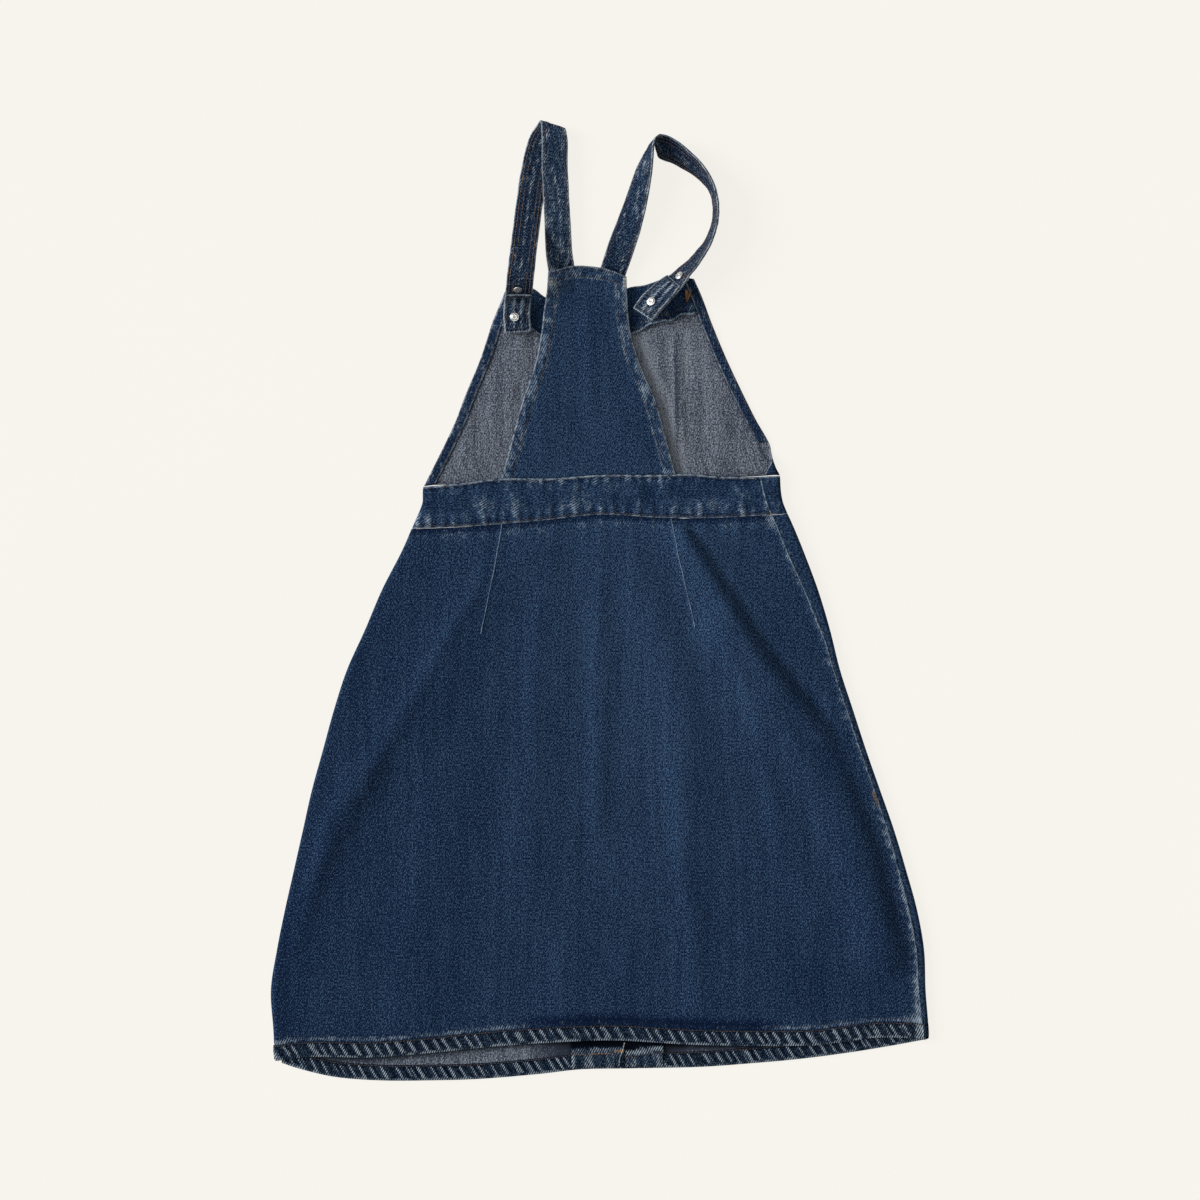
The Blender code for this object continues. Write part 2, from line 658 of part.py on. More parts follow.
def buttonhole_cutter(hole, cutters):
    """A keyhole outline, its eye at the origin and its slit running up, made a solid."""
    open_angle = math.asin(SLIT / 2 / EYE_R)
    start = math.pi / 2 + open_angle
    turn = 2 * math.pi - 2 * open_angle
    steps = 12
    outline = [(EYE_R * math.cos(start + turn * k / steps), EYE_R * math.sin(start + turn * k / steps))
               for k in range(steps + 1)]
    outline += [(SLIT / 2, SLIT_LENGTH), (-SLIT / 2, SLIT_LENGTH)]
    curve = bpy.data.curves.new("buttonhole_outline", "CURVE")
    curve.dimensions = "2D"
    curve.fill_mode = "BOTH"
    curve.extrude = 10 * MM
    spline = curve.splines.new("POLY")
    spline.points.add(len(outline) - 1)
    for point, (x, y) in zip(spline.points, outline):
        point.co = (x * MM, y * MM, 0, 1)
    spline.use_cyclic_u = True
    flat = bpy.data.objects.new("buttonhole_outline", curve)
    cutters.objects.link(flat)
    bpy.context.view_layer.update()
    depsgraph = bpy.context.evaluated_depsgraph_get()
    mesh = bpy.data.meshes.new_from_object(flat.evaluated_get(depsgraph))
    bm = bmesh.new()
    bm.from_mesh(mesh)
    bmesh.ops.remove_doubles(bm, verts=bm.verts, dist=1e-6)
    bm.to_mesh(mesh)
    bm.free()
    bpy.data.objects.remove(flat)
    cutter = bpy.data.objects.new("buttonhole_" + hole.side, mesh)
    cutter.location = (hole.x * MM, hole.y * MM, 0)
    cutter.rotation_euler = (0, 0, math.radians(hole.lean))
    cutter.hide_render = True
    cutter.display_type = "WIRE"
    cutters.objects.link(cutter)
    return cutter


# ------------------------------------------------------------------- straps

Section = namedtuple("Section", "centre across travel normal distance")


def catmull_rom(a, b, c, d, t):
    return 0.5 * (2 * b + (c - a) * t + (2 * a - 5 * b + 4 * c - d) * t * t
                  + (3 * b - a - 3 * c + d) * t * t * t)


def strap_sections(rows):
    """Close sections along a strap: its two edges run smoothly through the table's points."""
    edges = [(Vector((r.ax, r.ay, r.az)), Vector((r.bx, r.by, r.bz))) for r in rows]
    steps = 8
    dense = []
    for i in range(len(edges) - 1):
        before = edges[max(i - 1, 0)]
        after = edges[min(i + 2, len(edges) - 1)]
        for k in range(steps if i < len(edges) - 2 else steps + 1):
            a, b = (catmull_rom(before[e], edges[i][e], edges[i + 1][e], after[e], k / steps)
                    for e in (0, 1))
            dense.append(((a + b) / 2, (b - a).normalized()))
    sections = []
    distance = 0.0
    for i, (centre, across) in enumerate(dense):
        ahead = dense[min(i + 1, len(dense) - 1)][0]
        behind = dense[max(i - 1, 0)][0]
        travel = (ahead - behind).normalized()
        normal = across.cross(travel).normalized()
        if i:
            distance += (centre - dense[i - 1][0]).length
        sections.append(Section(centre, across, travel, normal, distance))
    return sections


def thin_sections(sections, keep, flats):
    """Drop sections where the strap runs straight, but not those next to the distances to keep.

    flats are the distances of the buttons, where the strap is left flat between two sections.
    """
    kept = [sections[0]]
    for section in sections[1:-1]:
        last = kept[-1]
        turned = max(last.travel.angle(section.travel), last.across.angle(section.across))
        wanted = any(last.distance < at <= section.distance for at in keep)
        borders = [at + side * FLAT_HALF for at in flats for side in (-1, 1)]
        wanted = wanted or any(last.distance < at <= section.distance for at in borders)
        if any(abs(section.distance - at) < FLAT_HALF for at in flats):
            continue
        if turned > math.radians(15) or section.distance - last.distance > 13 or wanted:
            kept.append(section)
    if sections[-1].distance - kept[-1].distance < 3:
        kept.pop()
    return kept + [sections[-1]]


def flatten(sections, distance):
    """Take the twist out of the strap under a button, and return the middle of that flat place."""
    i = max(k for k, section in enumerate(sections) if section.distance < distance)
    before, after = sections[i], sections[i + 1]
    across = (before.across + after.across).normalized()
    travel = (after.centre - before.centre).normalized()
    normal = across.cross(travel).normalized()
    for k in (i, i + 1):
        sections[k] = Section(sections[k].centre, across, travel, normal, sections[k].distance)
    t = (distance - before.distance) / (after.distance - before.distance)
    return Section(before.centre.lerp(after.centre, t), across, travel, normal, distance)


def build_strap(side, rows, parts):
    """A two-layer strap, whose end is turned back onto its inner side and so is thicker."""
    name = "strap_" + side
    sections = strap_sections(rows)
    length = sections[-1].distance
    tab_start = length - STRAP_TAB_LENGTH
    tacks = [tack for tack in TACKS if tack.side == side]
    flats = [length - tack.from_end for tack in tacks]
    sections = thin_sections(sections, (tab_start, tab_start + 1.5), flats)
    places = [(tack, flatten(sections, at)) for tack, at in zip(tacks, flats)]
    bm = bmesh.new()
    rings = []
    for s in sections:
        inner = STRAP / 2 + STRAP_TAB * smoothstep((s.distance - tab_start) / 1.5)
        half = s.across * STRAP_WIDTH / 2
        corners = (s.centre - half + s.normal * STRAP / 2, s.centre + half + s.normal * STRAP / 2,
                   s.centre + half - s.normal * inner, s.centre - half - s.normal * inner)
        rings.append([bm.verts.new(corner * MM) for corner in corners])
    for first, second in zip(rings, rings[1:]):
        for i in range(4):
            j = (i + 1) % 4
            bm.faces.new((first[i], first[j], second[j], second[i]))
    bm.faces.new(rings[0][::-1])
    bm.faces.new(rings[-1])
    bmesh.ops.recalc_face_normals(bm, faces=bm.faces)
    mesh = bpy.data.meshes.new(name)
    bm.to_mesh(mesh)
    bm.free()
    new_object(name, mesh, parts, DENIM)
    for tack, place in places:
        build_tack(tack, place, parts)


# ------------------------------------------------------------- tack buttons

def turned(name, profile, matrix, parts):
    """A turned piece from its profile of (radius, height) points, top to bottom."""
    mesh = bpy.data.meshes.new(name)
    points = [(radius * MM, 0.0, height * MM) for radius, height in profile]
    mesh.from_pydata(points, [(i, i + 1) for i in range(len(points) - 1)], [])
    thing = new_object(name, mesh, parts, TACK_METAL, 0.35, 1.0)
    thing.matrix_world = matrix
    screw = thing.modifiers.new("Turn", "SCREW")
    screw.steps = 16
    screw.render_steps = 16
    screw.use_merge_vertices = True
    screw.merge_threshold = 0.00001
    return thing


def build_tack(tack, section, parts):
    """A tack button: its head on the strap's outer side, its back on the inner side."""
    z_axis = -section.normal
    x_axis = (section.across - z_axis * section.across.dot(z_axis)).normalized()
    y_axis = z_axis.cross(x_axis)
    centre = section.centre + section.across * tack.sideways
    matrix = Matrix((x_axis, y_axis, z_axis)).transposed().to_4x4()
    matrix.translation = centre * MM
    top = -(STRAP / 2 + LOOSE_SHANK)
    if tack.label == THROUGH:
        top = TACK_HEAD + HEAD_CLEAR - centre.z
    shank_end = -(STRAP / 2 + GAP)
    turned("tack_button_" + tack.label,
           [(0, shank_end), (TACK_SHANK_R, shank_end), (TACK_SHANK_R, top),
            (TACK_HEAD_R - 0.6, top), (TACK_HEAD_R, top - 0.6), (TACK_HEAD_R, top - 1.4),
            (TACK_HEAD_R - 1.6, top - TACK_HEAD), (0, top - TACK_HEAD)], matrix, parts)
    base = STRAP / 2 + GAP
    if tack.from_end < STRAP_TAB_LENGTH:
        base += STRAP_TAB
    turned("tack_back_" + tack.label,
           [(0, base + TACK_BACK), (TACK_BACK_R - 1.2, base + TACK_BACK),
            (TACK_BACK_R, base + TACK_BACK * 0.4), (TACK_BACK_R, base), (0, base)], matrix, parts)


def main():
    clear_scene()
    parts = new_collection("denim_pinafore_dress")
    cutters = new_collection("cutters")
    build_skirt(parts)
    build_front_facings(parts)
    build_waistband(parts)
    build_back_bib(parts)
    build_front_bib(parts, cutters)
    build_strap("left", LEFT_STRAP, parts)
    build_strap("right", RIGHT_STRAP, parts)


main()
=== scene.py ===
"""Denim pinafore dress, laid face down with its back uppermost, seen from straight above.

The tables are in millimetres. X runs across the dress, Y runs up it, Z is the height above the
surface that it lies on. Lengths become metres where a mesh is made.
"""
import math

import bpy
import numpy as np
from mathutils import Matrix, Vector


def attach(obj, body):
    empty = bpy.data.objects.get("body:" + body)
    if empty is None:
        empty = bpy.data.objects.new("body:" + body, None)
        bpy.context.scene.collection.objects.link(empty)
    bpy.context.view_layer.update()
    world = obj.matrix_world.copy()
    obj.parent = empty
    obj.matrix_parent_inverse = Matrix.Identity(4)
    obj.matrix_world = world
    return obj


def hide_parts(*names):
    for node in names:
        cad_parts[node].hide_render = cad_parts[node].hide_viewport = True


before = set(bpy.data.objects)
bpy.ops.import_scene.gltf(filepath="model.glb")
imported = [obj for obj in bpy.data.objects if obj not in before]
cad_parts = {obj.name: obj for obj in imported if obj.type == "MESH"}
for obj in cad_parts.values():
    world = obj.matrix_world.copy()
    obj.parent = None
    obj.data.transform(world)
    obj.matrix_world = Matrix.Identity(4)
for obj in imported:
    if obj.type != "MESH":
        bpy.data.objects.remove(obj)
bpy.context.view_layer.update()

MM = 0.001
CLOTH, BAND, BIB, FACING, GAP = 1.2, 2.0, 1.6, 0.9, 0.3
HALF_GAP = GAP / 2
FACING_WIDTH = 10.5
STRAP_WIDTH, STRAP, TAB_LENGTH = 27.0, 2.4, 45.5
HEM = 15.0
HEM_STITCHES = HEM - 1.3
UNDER_LEFT = 3.0  # the back ends this far past the left fold, on the underside
FAR = 99.0  # a distance at which nothing of a seam shows
NO_LINE = 9.0  # the same, for a rubbed line

# ------------------------------------------------------------------ outlines

SIDES = [  # y, left fold, right fold, fold radius
    (124, -176.5, 180, 4.2), (108, -177.5, 181, 4.2), (96, -178, 183.5, 4.2), (72, -188, 194, 4.2),
    (50, -197.5, 203, 4.0), (10, -218, 218, 3.6), (-30, -235, 230, 3.6), (-70, -253, 240, 3.6),
    (-110, -266, 253, 3.6), (-150, -277, 266, 3.6), (-190, -288, 280, 3.6), (-230, -297, 294, 3.6),
    (-270, -306, 306, 3.6), (-310, -315, 317, 3.6), (-350, -323, 324, 3.6), (-390, -329, 325.5, 3.6),
    (-430, -326.5, 328.5, 3.6), (-460, -325, 328.5, 3.6),
]
RIGHT_SEAM = [  # y, inset of the side seam from the right fold
    (124, 19), (100, 16), (40, 15.5), (-20, 10), (-50, 6.5), (-190, 5.2), (-300, 7.5), (-340, 7.5),
    (-440, 5.2),
]
WAISTBAND_TOP = [
    (-177, 113), (-140, 116.5), (-100, 121.5), (-50, 121.5), (0, 125), (55, 125), (90, 126),
    (120, 123.5), (162, 123), (181, 124),
]
WAIST_SEAM = [(-188, 71), (-120, 74), (-60, 79), (0, 85), (60, 82), (120, 82), (187, 86)]
BACK_HEM = [
    (-324, -460), (-290, -456), (-230, -456.5), (-170, -452), (-100, -445), (-20, -440),
    (20, -439.5), (100, -444), (210, -444.5), (250, -440), (280, -436.5), (328, -438),
]
FRONT_HEM = [
    (-324, -460), (-300, -468), (-265, -476), (-220, -479.5), (-170, -479.5), (-120, -478),
    (-60, -473), (-20, -468.5), (30, -467.5), (100, -466), (150, -462.5), (200, -458),
    (250, -451.5), (290, -445), (328, -438),
]
FRONT_WAISTBAND_TOP = [(-177, 113), (181, 124)]
FRONT_WAIST_SEAM = [(-188, 71), (194, 86)]
CENTRE_FRONT = [(-480, 21), (92, 10)]  # y, x
FRONT_FACINGS = {"left": (-49.0, 4.5), "right": (4.8, 43.0)}  # from the centre-front seam
BACK_BIB_TOP = [(-52, 327.6), (-44, 329.8), (-26, 334), (0, 332.3), (14, 328.5), (26.5, 323)]
BACK_BIB_LEFT = [  # y, x
    (328, -52), (310, -53), (290, -56), (265, -59), (235, -65), (200, -77), (160, -88), (121, -98.5),
]
BACK_BIB_RIGHT = [
    (323, 26.5), (290, 28), (265, 31), (235, 40), (200, 55), (165, 65), (126, 75.5),
]
BACK_BIB_HEIGHT = [(120, 8.4), (170, 8.9), (270, 8.9), (334, 8.3)]
FRONT_BIB = [  # y, left, right, wrap
    (321, -91, 94, 0), (303, -97, 102, 0), (276, -108, 112, 0), (240, -120, 127, 0),
    (204, -135, 144, 0), (180, -144, 156, 0), (156, -155, 169.5, 0), (144, -161, 172, 6),
    (132, -167, 176, 17), (124, -171, 180, 24), (113, -176.5, 180, 24),
]
FRONT_BIB_TOP = [
    (-94, 308), (-80, 312.5), (-67, 311.5), (-55, 303), (-40, 298), (-10, 297), (15, 304),
    (28, 312), (45, 315), (60, 320), (75, 324), (94, 321),
]
TOP_FACING_EDGE = [
    (-97, 274), (-67, 270), (-60, 265), (-40, 258), (-10, 257), (15, 260), (31, 265), (45, 272),
    (55, 277), (70, 279), (80, 284), (100, 287),
]
FRONT_BIB_BOTTOM = [(-177, 113.6), (-165, 115), (150, 123.4), (181, 125.4)]
BUTTONHOLES = [(-85.5, 283.3, 4.0), (87.0, 299.0, -9.0)]  # left and right: x, y, lean
DARTS = [  # three points down each dart
    ((-98, 77), (-104, 40), (-119, -34)),
    ((71, 81), (78, 45), (95, -27)),
]

FOLDS = [  # three points along each fold, its half width and its height
    (-98, 44, -157, -64, -192, -120, 32, 3.9),
    (84, 62, 132, -30, 169, -94, 24, 8.0),
    (187, -126, 240, -215, 282, -350, 24, 7.0),
    (0, 80, -3, -80, -6, -220, 15, 2.6),
    (22, 76, 72, -60, 96, -200, 24, 4.2),
    (76, -180, 86, -290, 100, -405, 16, 3.0),
    (116, -30, 152, -130, 214, -310, 20, 3.0),
    (-58, 60, -60, -110, -74, -300, 22, 2.2),
    (-150, -180, -170, -300, -190, -420, 30, 3.0),
    (-40, -330, -30, -390, -20, -440, 40, 2.4),
]
SOFT_FOLDS = [  # those that die out at both ends
    (236, -128, 281, -243, 311, -365, 8, -2.0),
    (222, -142, 266, -250, 296, -365, 11, 1.4),
    (-300, -290, -312, -340, -318, -400, 14, 2.0),
    (-212, -140, -266, -224, -320, -340, 20, 6.2),
    (-200, -150, -242, -217, -304, -330, 14, -1.0),
    (-102, 48, -176, -80, -246, -197, 9, 2.2),
    (-12, -30, -12, -130, -14, -300, 7, -1.2),
    (-60, 20, -64, -60, -70, -150, 9, 0.8),
    (61, -150, 70, -270, 94, -395, 8, -1.3),
    (112, -40, 150, -140, 166, -270, 9, -1.2),
    (110, -10, 138, -70, 160, -130, 6, 0.9),
    (-140, 60, -150, 20, -158, -20, 10, 0.9),
    (-180, -250, -190, -320, -196, -380, 12, 0.9),
    (-236, -300, -246, -350, -250, -410, 11, 1.1),
    (180, -330, 186, -380, 190, -420, 13, 1.0),
    (232, -330, 244, -380, 250, -420, 10, 0.9),
    (30, 40, 34, 0, 40, -60, 7, 0.7),
    (-112, -330, -112, -380, -108, -430, 11, 0.9),
    (20, -300, 20, -370, 26, -430, 10, 0.8),
]
CREASES = [  # sharper ones that start at the waist seam
    (74, 82, 156, -52, 224, -140, 10, 2.6),
    (85, 82, 169, -45, 236, -128, 7, -2.4),
]
BACK_BIB_FOLDS = [
    (-24, 310, -24, 250, -20, 180, 8, -0.7),
    (-14, 310, -13, 250, -11, 190, 6, 0.6),
    (4, 318, 6, 300, 10, 270, 7, -0.8),
    (20, 235, 22, 220, 24, 200, 8, -0.5),
    (-50, 190, -52, 170, -56, 140, 9, 0.6),
    (30, 190, 34, 165, 38, 140, 9, 0.5),
]
FRONT_BIB_FOLDS = [
    (76, 262, 78, 220, 82, 150, 5, 1.5),
    (92, 268, 96, 230, 98, 190, 6, 1.0),
    (60, 262, 60, 236, 66, 210, 5, 0.9),
    (108, 240, 116, 190, 120, 150, 8, 0.7),
    (-78, 262, -84, 230, -92, 190, 6, 1.0),
    (-96, 240, -104, 200, -112, 160, 7, 0.8),
    (-128, 180, -134, 160, -138, 135, 6, 0.8),
]
FOLD_FADE, WAIST_FADE, SOFT_TAPER = 26.0, 34.0, 60

LEFT_STRAP = [  # edge a and edge b, from the back bib to the front bib
    (-52, 328.9, 7.3, -26, 335.4, 7.3), (-54.5, 352, 8.2, -28, 354, 8.2),
    (-56, 390, 9.0, -30, 391, 9.0), (-58, 430, 10.0, -32, 430, 10.0),
    (-58, 458, 10.2, -32, 456, 10.2), (-58.8, 473.6, 10.0, -33.2, 465.8, 10.0),
    (-59.4, 477.4, 8.7, -34.1, 469.1, 8.7), (-60, 478.8, 5.7, -35.1, 470.5, 5.7),
    (-61.4, 477.4, 2.9, -36.8, 468.4, 2.9), (-64.4, 473.2, 1.6, -40, 462.6, 1.6),
    (-69, 465.6, 1.4, -45, 453.6, 1.4), (-73.4, 454.4, 1.4, -48.4, 445, 1.4),
    (-77.5, 438, 1.5, -51.5, 432, 1.5), (-81, 418, 2.2, -54.5, 414, 2.2),
    (-84, 396, 5.5, -57.5, 393, 5.5), (-87, 370, 15.5, -60.5, 368, 15.5),
    (-89.5, 348, 28.0, -63, 347, 28.0), (-91.5, 333, 35.5, -64.5, 332, 35.5),
    (-92.8, 322, 37.0, -65.8, 322, 37.0), (-93.6, 314.5, 33.5, -66.6, 314.5, 33.5),
    (-94.4, 308, 24.0, -67.4, 308, 24.0), (-95.6, 301.5, 13.0, -68.4, 301.5, 13.0),
    (-96.4, 295.5, 8.6, -69, 296, 8.6), (-97, 283, 8.0, -69.5, 283.5, 8.0),
    (-95.5, 267, 8.0, -68.5, 269, 8.0),
]
RIGHT_STRAP = [
    (1, 333.5, 7.3, 26, 325.4, 7.3), (11, 364, 6.0, 36, 354.5, 11.5),
    (21, 388.5, 3.5, 43.5, 380, 16.5), (29.5, 411.5, 1.6, 48.5, 405.5, 19.9),
    (36.5, 430.5, 1.4, 51.5, 426, 23.0), (42, 441.5, 1.4, 52.5, 438.5, 25.8),
    (46.8, 449.5, 1.4, 53, 447.5, 27.5), (50.5, 455.5, 1.4, 53.6, 455.5, 28.0),
    (54.4, 457.5, 1.6, 55.4, 461, 27.8), (56.2, 450, 2.2, 57.6, 463.4, 25.8),
    (58, 442.5, 2.6, 61.6, 464.8, 18.2), (64.4, 439.2, 2.6, 68, 463.5, 14.0),
    (71.8, 437, 2.2, 78.5, 457, 18.8), (80.5, 432.6, 1.8, 89.5, 447.6, 22.0),
    (91.5, 426.5, 1.4, 100, 437, 24.6), (102, 418, 1.4, 109, 424, 26.8),
    (110, 408, 1.4, 115, 410, 27.9), (113.4, 394, 1.4, 117.8, 394, 28.1),
    (112.4, 377.5, 1.4, 117, 376.5, 28.0), (106, 360.5, 1.5, 111.5, 357.5, 27.6),
    (98, 350, 1.8, 104.5, 344.5, 27.4), (88.5, 339.5, 2.4, 96, 331.5, 27.0),
    (80.5, 333, 3.2, 90, 324, 26.2), (71.5, 325.5, 4.6, 83.5, 314, 25.0),
    (60, 318.5, 5.6, 76, 304.5, 21.8), (50.5, 311, 6.4, 68, 295.5, 18.8),
    (42.2, 303.5, 7.0, 60.5, 287.5, 17.6), (34, 291.8, 7.4, 53.5, 278.5, 17.6),
]
TACK_PLACES = {  # from the strap's end, and sideways
    "left": ((15.0, -2.3), (53.0, -1.1)),
    "right": ((15.0, -0.6), (53.0, 0.0)),
}
TACK_PROFILE = [  # a tack's back: a dimpled middle, a raised ring and a rolled rim
    (0, 1.0), (0.5, 1.0), (0.9, 1.15), (1.5, 1.3), (2.3, 1.38), (2.9, 1.25), (3.3, 0.95), (3.6, 0.9),
    (4.1, 0.95), (4.45, 0.75), (4.6, 0.4), (4.5, 0.05), (4.2, 0.0), (0, 0.0),
]


# ------------------------------------------------------------------- helpers

def curve(points, column=1):
    """A smooth curve through a table's points, held level past its two ends."""
    rows = sorted((p[0], p[column]) for p in points)
    x, y = np.array(rows, float).T
    slope = np.empty(len(x))
    slope[1:-1] = (y[2:] - y[:-2]) / (x[2:] - x[:-2])
    slope[0] = (y[1] - y[0]) / (x[1] - x[0])
    slope[-1] = (y[-1] - y[-2]) / (x[-1] - x[-2])

    def at(v):
        v = np.clip(v, x[0], x[-1])
        i = np.clip(np.searchsorted(x, v, side="right") - 1, 0, len(x) - 2)
        w = x[i + 1] - x[i]
        t = (v - x[i]) / w
        blend = t * t * (3 - 2 * t)
        return (y[i] + (y[i + 1] - y[i]) * blend + w * slope[i] * t * (1 - t) ** 2
                - w * slope[i + 1] * t * t * (1 - t))
    return at


def lerp(a, b, t):
    return a + (b - a) * t


def ease(a, b, x):
    """0 before a and 1 past b, smooth between them."""
    t = np.clip((x - a) / (b - a), 0.0, 1.0)
    return t * t * (3.0 - 2.0 * t)


def bell(distance, width):
    """1 at no distance, and next to nothing past about twice the width."""
    return np.exp(-(distance / width) ** 2)


def spot(x, y, centre_x, centre_y, width, height):
    """A bell in both directions."""
    return np.exp(-(((x - centre_x) / width) ** 2 + ((y - centre_y) / height) ** 2))


TABLES = {}


def noise(x, y, size, seed):
    """Smooth noise from -1 to 1, with features of about the given size in mm, in x and in y."""
    if seed not in TABLES:
        TABLES[seed] = np.random.default_rng(seed).uniform(-1, 1, (64, 64))
    table = TABLES[seed]
    size_x, size_y = size if isinstance(size, tuple) else (size, size)
    u, v = np.asarray(x) / size_x + 500.0, np.asarray(y) / size_y + 500.0
    i, j = np.floor(u).astype(int), np.floor(v).astype(int)
    s, t = u - i, v - j
    s, t = s * s * (3 - 2 * s), t * t * (3 - 2 * t)
    a, b = table[i % 64, j % 64], table[(i + 1) % 64, j % 64]
    c, d = table[i % 64, (j + 1) % 64], table[(i + 1) % 64, (j + 1) % 64]
    return lerp(lerp(a, b, s), lerp(c, d, s), t)


def to_line(points, x, y):
    """Distance to a line of straight runs, with a sign by the side, and how far along it."""
    best = np.full(np.broadcast(x, y).shape, 1e9)
    along = np.zeros_like(best)
    sign = np.ones_like(best)
    done = 0.0
    for (ax, ay), (bx, by) in zip(points, points[1:]):
        dx, dy = bx - ax, by - ay
        run = math.hypot(dx, dy)
        t = np.clip(((x - ax) * dx + (y - ay) * dy) / run ** 2, 0, 1)
        ex, ey = x - ax - t * dx, y - ay - t * dy
        distance = np.hypot(ex, ey)
        near = distance < best
        best = np.where(near, distance, best)
        along = np.where(near, done + t * run, along)
        sign = np.where(near, np.sign(dx * ey - dy * ex), sign)
        done += run
    return best * sign, along


def nearest(*distances):
    """The distance of smallest size, of several signed ones."""
    stack = np.stack(np.broadcast_arrays(*distances))
    return np.take_along_axis(stack, np.abs(stack).argmin(0)[None], 0)[0]


def run_of(path):
    """How far along a path of points each point is."""
    return np.concatenate([[0], np.cumsum(np.linalg.norm(np.diff(path, axis=0), axis=1))])


def sampled(at, along, table):
    """Rows of a table of three columns, at distances along it."""
    return np.column_stack([np.interp(at, along, table[:, c]) for c in range(3)])


def unit(vectors):
    return vectors / np.linalg.norm(vectors, axis=-1)[..., None]


left_at, right_at, fold_radius = (curve(SIDES, k) for k in (1, 2, 3))
seam_inset, centre_front = curve(RIGHT_SEAM), curve(CENTRE_FRONT)
waistband_top, waist_seam, back_hem = curve(WAISTBAND_TOP), curve(WAIST_SEAM), curve(BACK_HEM)
front_band_top, front_waist_seam = curve(FRONT_WAISTBAND_TOP), curve(FRONT_WAIST_SEAM)
front_hem = curve(FRONT_HEM)
bib_left, bib_right, bib_top = curve(BACK_BIB_LEFT), curve(BACK_BIB_RIGHT), curve(BACK_BIB_TOP)
bib_height = curve(BACK_BIB_HEIGHT)
front_left, front_right, front_wrap = (curve(FRONT_BIB, k) for k in (1, 2, 3))
front_top, facing_edge, front_bottom = curve(FRONT_BIB_TOP), curve(TOP_FACING_EDGE), curve(FRONT_BIB_BOTTOM)


def seam_at(y):
    return right_at(y) - seam_inset(y)


def ripples(x, pitch, seed):
    """An uneven wave from -1 to 1 along x."""
    drift = noise(x, 0 * x, pitch * 2.3, seed) * 0.42 + noise(x, 0 * x, pitch * 0.9, seed + 1) * 0.12
    return np.sin(2 * math.pi * (x / pitch + drift)) * (0.75 + 0.25 * noise(x, 0 * x, pitch, seed + 2))


def fold_sum(table, x, y, taper=0):
    """The height that a table's folds add, each dying out over the taper at both of its ends."""
    total = 0.0
    for x0, y0, x1, y1, x2, y2, half_width, height in table:
        distance, along = to_line(((x0, y0), (x1, y1), (x2, y2)), x, y)
        if taper:
            length = math.hypot(x1 - x0, y1 - y0) + math.hypot(x2 - x1, y2 - y1)
            height = height * ease(-8, taper, along) * ease(-8, taper, length - along)
        total = total + height * bell(distance, half_width)
    return total


def back_height(x, y):
    """Height of the outer face of the skirt's and waistband's back."""
    radius = fold_radius(y)
    inside = np.minimum(x - left_at(y) - radius, right_at(y) - radius - x)
    below = waist_seam(x) - y
    folds = fold_sum(FOLDS, x, y) + fold_sum(SOFT_FOLDS, x, y, SOFT_TAPER)
    soft = 0.55 * noise(x, y, (34, 70), 3) + 0.22 * noise(x, y, (13, 30), 4) + 0.1 * noise(x, y, 7, 5)
    gathers = 0.4 * ripples(x, 17, 11) * bell(np.maximum(below, 0), 26)
    body = (folds + soft) * ease(0, FOLD_FADE, inside) * ease(0, WAIST_FADE, below)
    body = body + fold_sum(CREASES, x, y) * ease(0, 14, inside) * ease(-1, 14, below)
    return 2 * radius + body + gathers * ease(0, 10, inside) * ease(-1, 6, below)


# -------------------------------------------------------------------- meshes

def add_mesh(name, points, faces, materials, uv=None, numbers=None):
    """A smooth mesh from points in mm, with a uv pair and named numbers for each point."""
    mesh = bpy.data.meshes.new(name)
    mesh.from_pydata((np.asarray(points, float).reshape(-1, 3) * MM).tolist(), [], faces)
    for material in materials:
        mesh.materials.append(material)
    mesh.polygons.foreach_set("use_smooth", np.ones(len(mesh.polygons), bool))
    if uv is not None:
        corner = np.empty(len(mesh.loops), np.int32)
        mesh.loops.foreach_get("vertex_index", corner)
        layer = mesh.uv_layers.new(name="cloth")
        layer.data.foreach_set("uv", uv.reshape(-1, 2).astype(np.float32)[corner].ravel())
    for key, values in (numbers or {}).items():
        layer = mesh.attributes.new(key, "FLOAT", "POINT")
        layer.data.foreach_set("value", np.asarray(values, np.float32).ravel())
    thing = bpy.data.objects.new(name, mesh)
    bpy.context.scene.collection.objects.link(thing)
    return thing


def put_on(thing, node=None):
    """Puts a piece on the dress and in place of its CAD node."""
    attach(thing, "root")
    if node:
        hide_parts(node)
    return thing


def grid_faces(rows, columns, closed=False):
    i, j = np.meshgrid(np.arange(rows - 1), np.arange(columns if closed else columns - 1), indexing="ij")
    a, b = i * columns + j, i * columns + (j + 1) % columns
    return np.stack([a, a + columns, b + columns, b], -1).reshape(-1, 4)


def weave_uv(points):
    """The weave's place: along each row from the row's middle point, and up the cloth."""
    steps = np.linalg.norm(np.diff(points, axis=1), axis=2)
    along = np.concatenate([np.zeros((points.shape[0], 1)), np.cumsum(steps, axis=1)], axis=1)
    return np.stack([along - along[:, along.shape[1] // 2][:, None], points[..., 1]], -1)


def looks(shape, wear, shade, line):
    """The three numbers that the cloth's material reads at each point."""
    return {"wear": np.broadcast_to(wear, shape), "shade": np.broadcast_to(shade, shape),
            "line": np.broadcast_to(line, shape)}


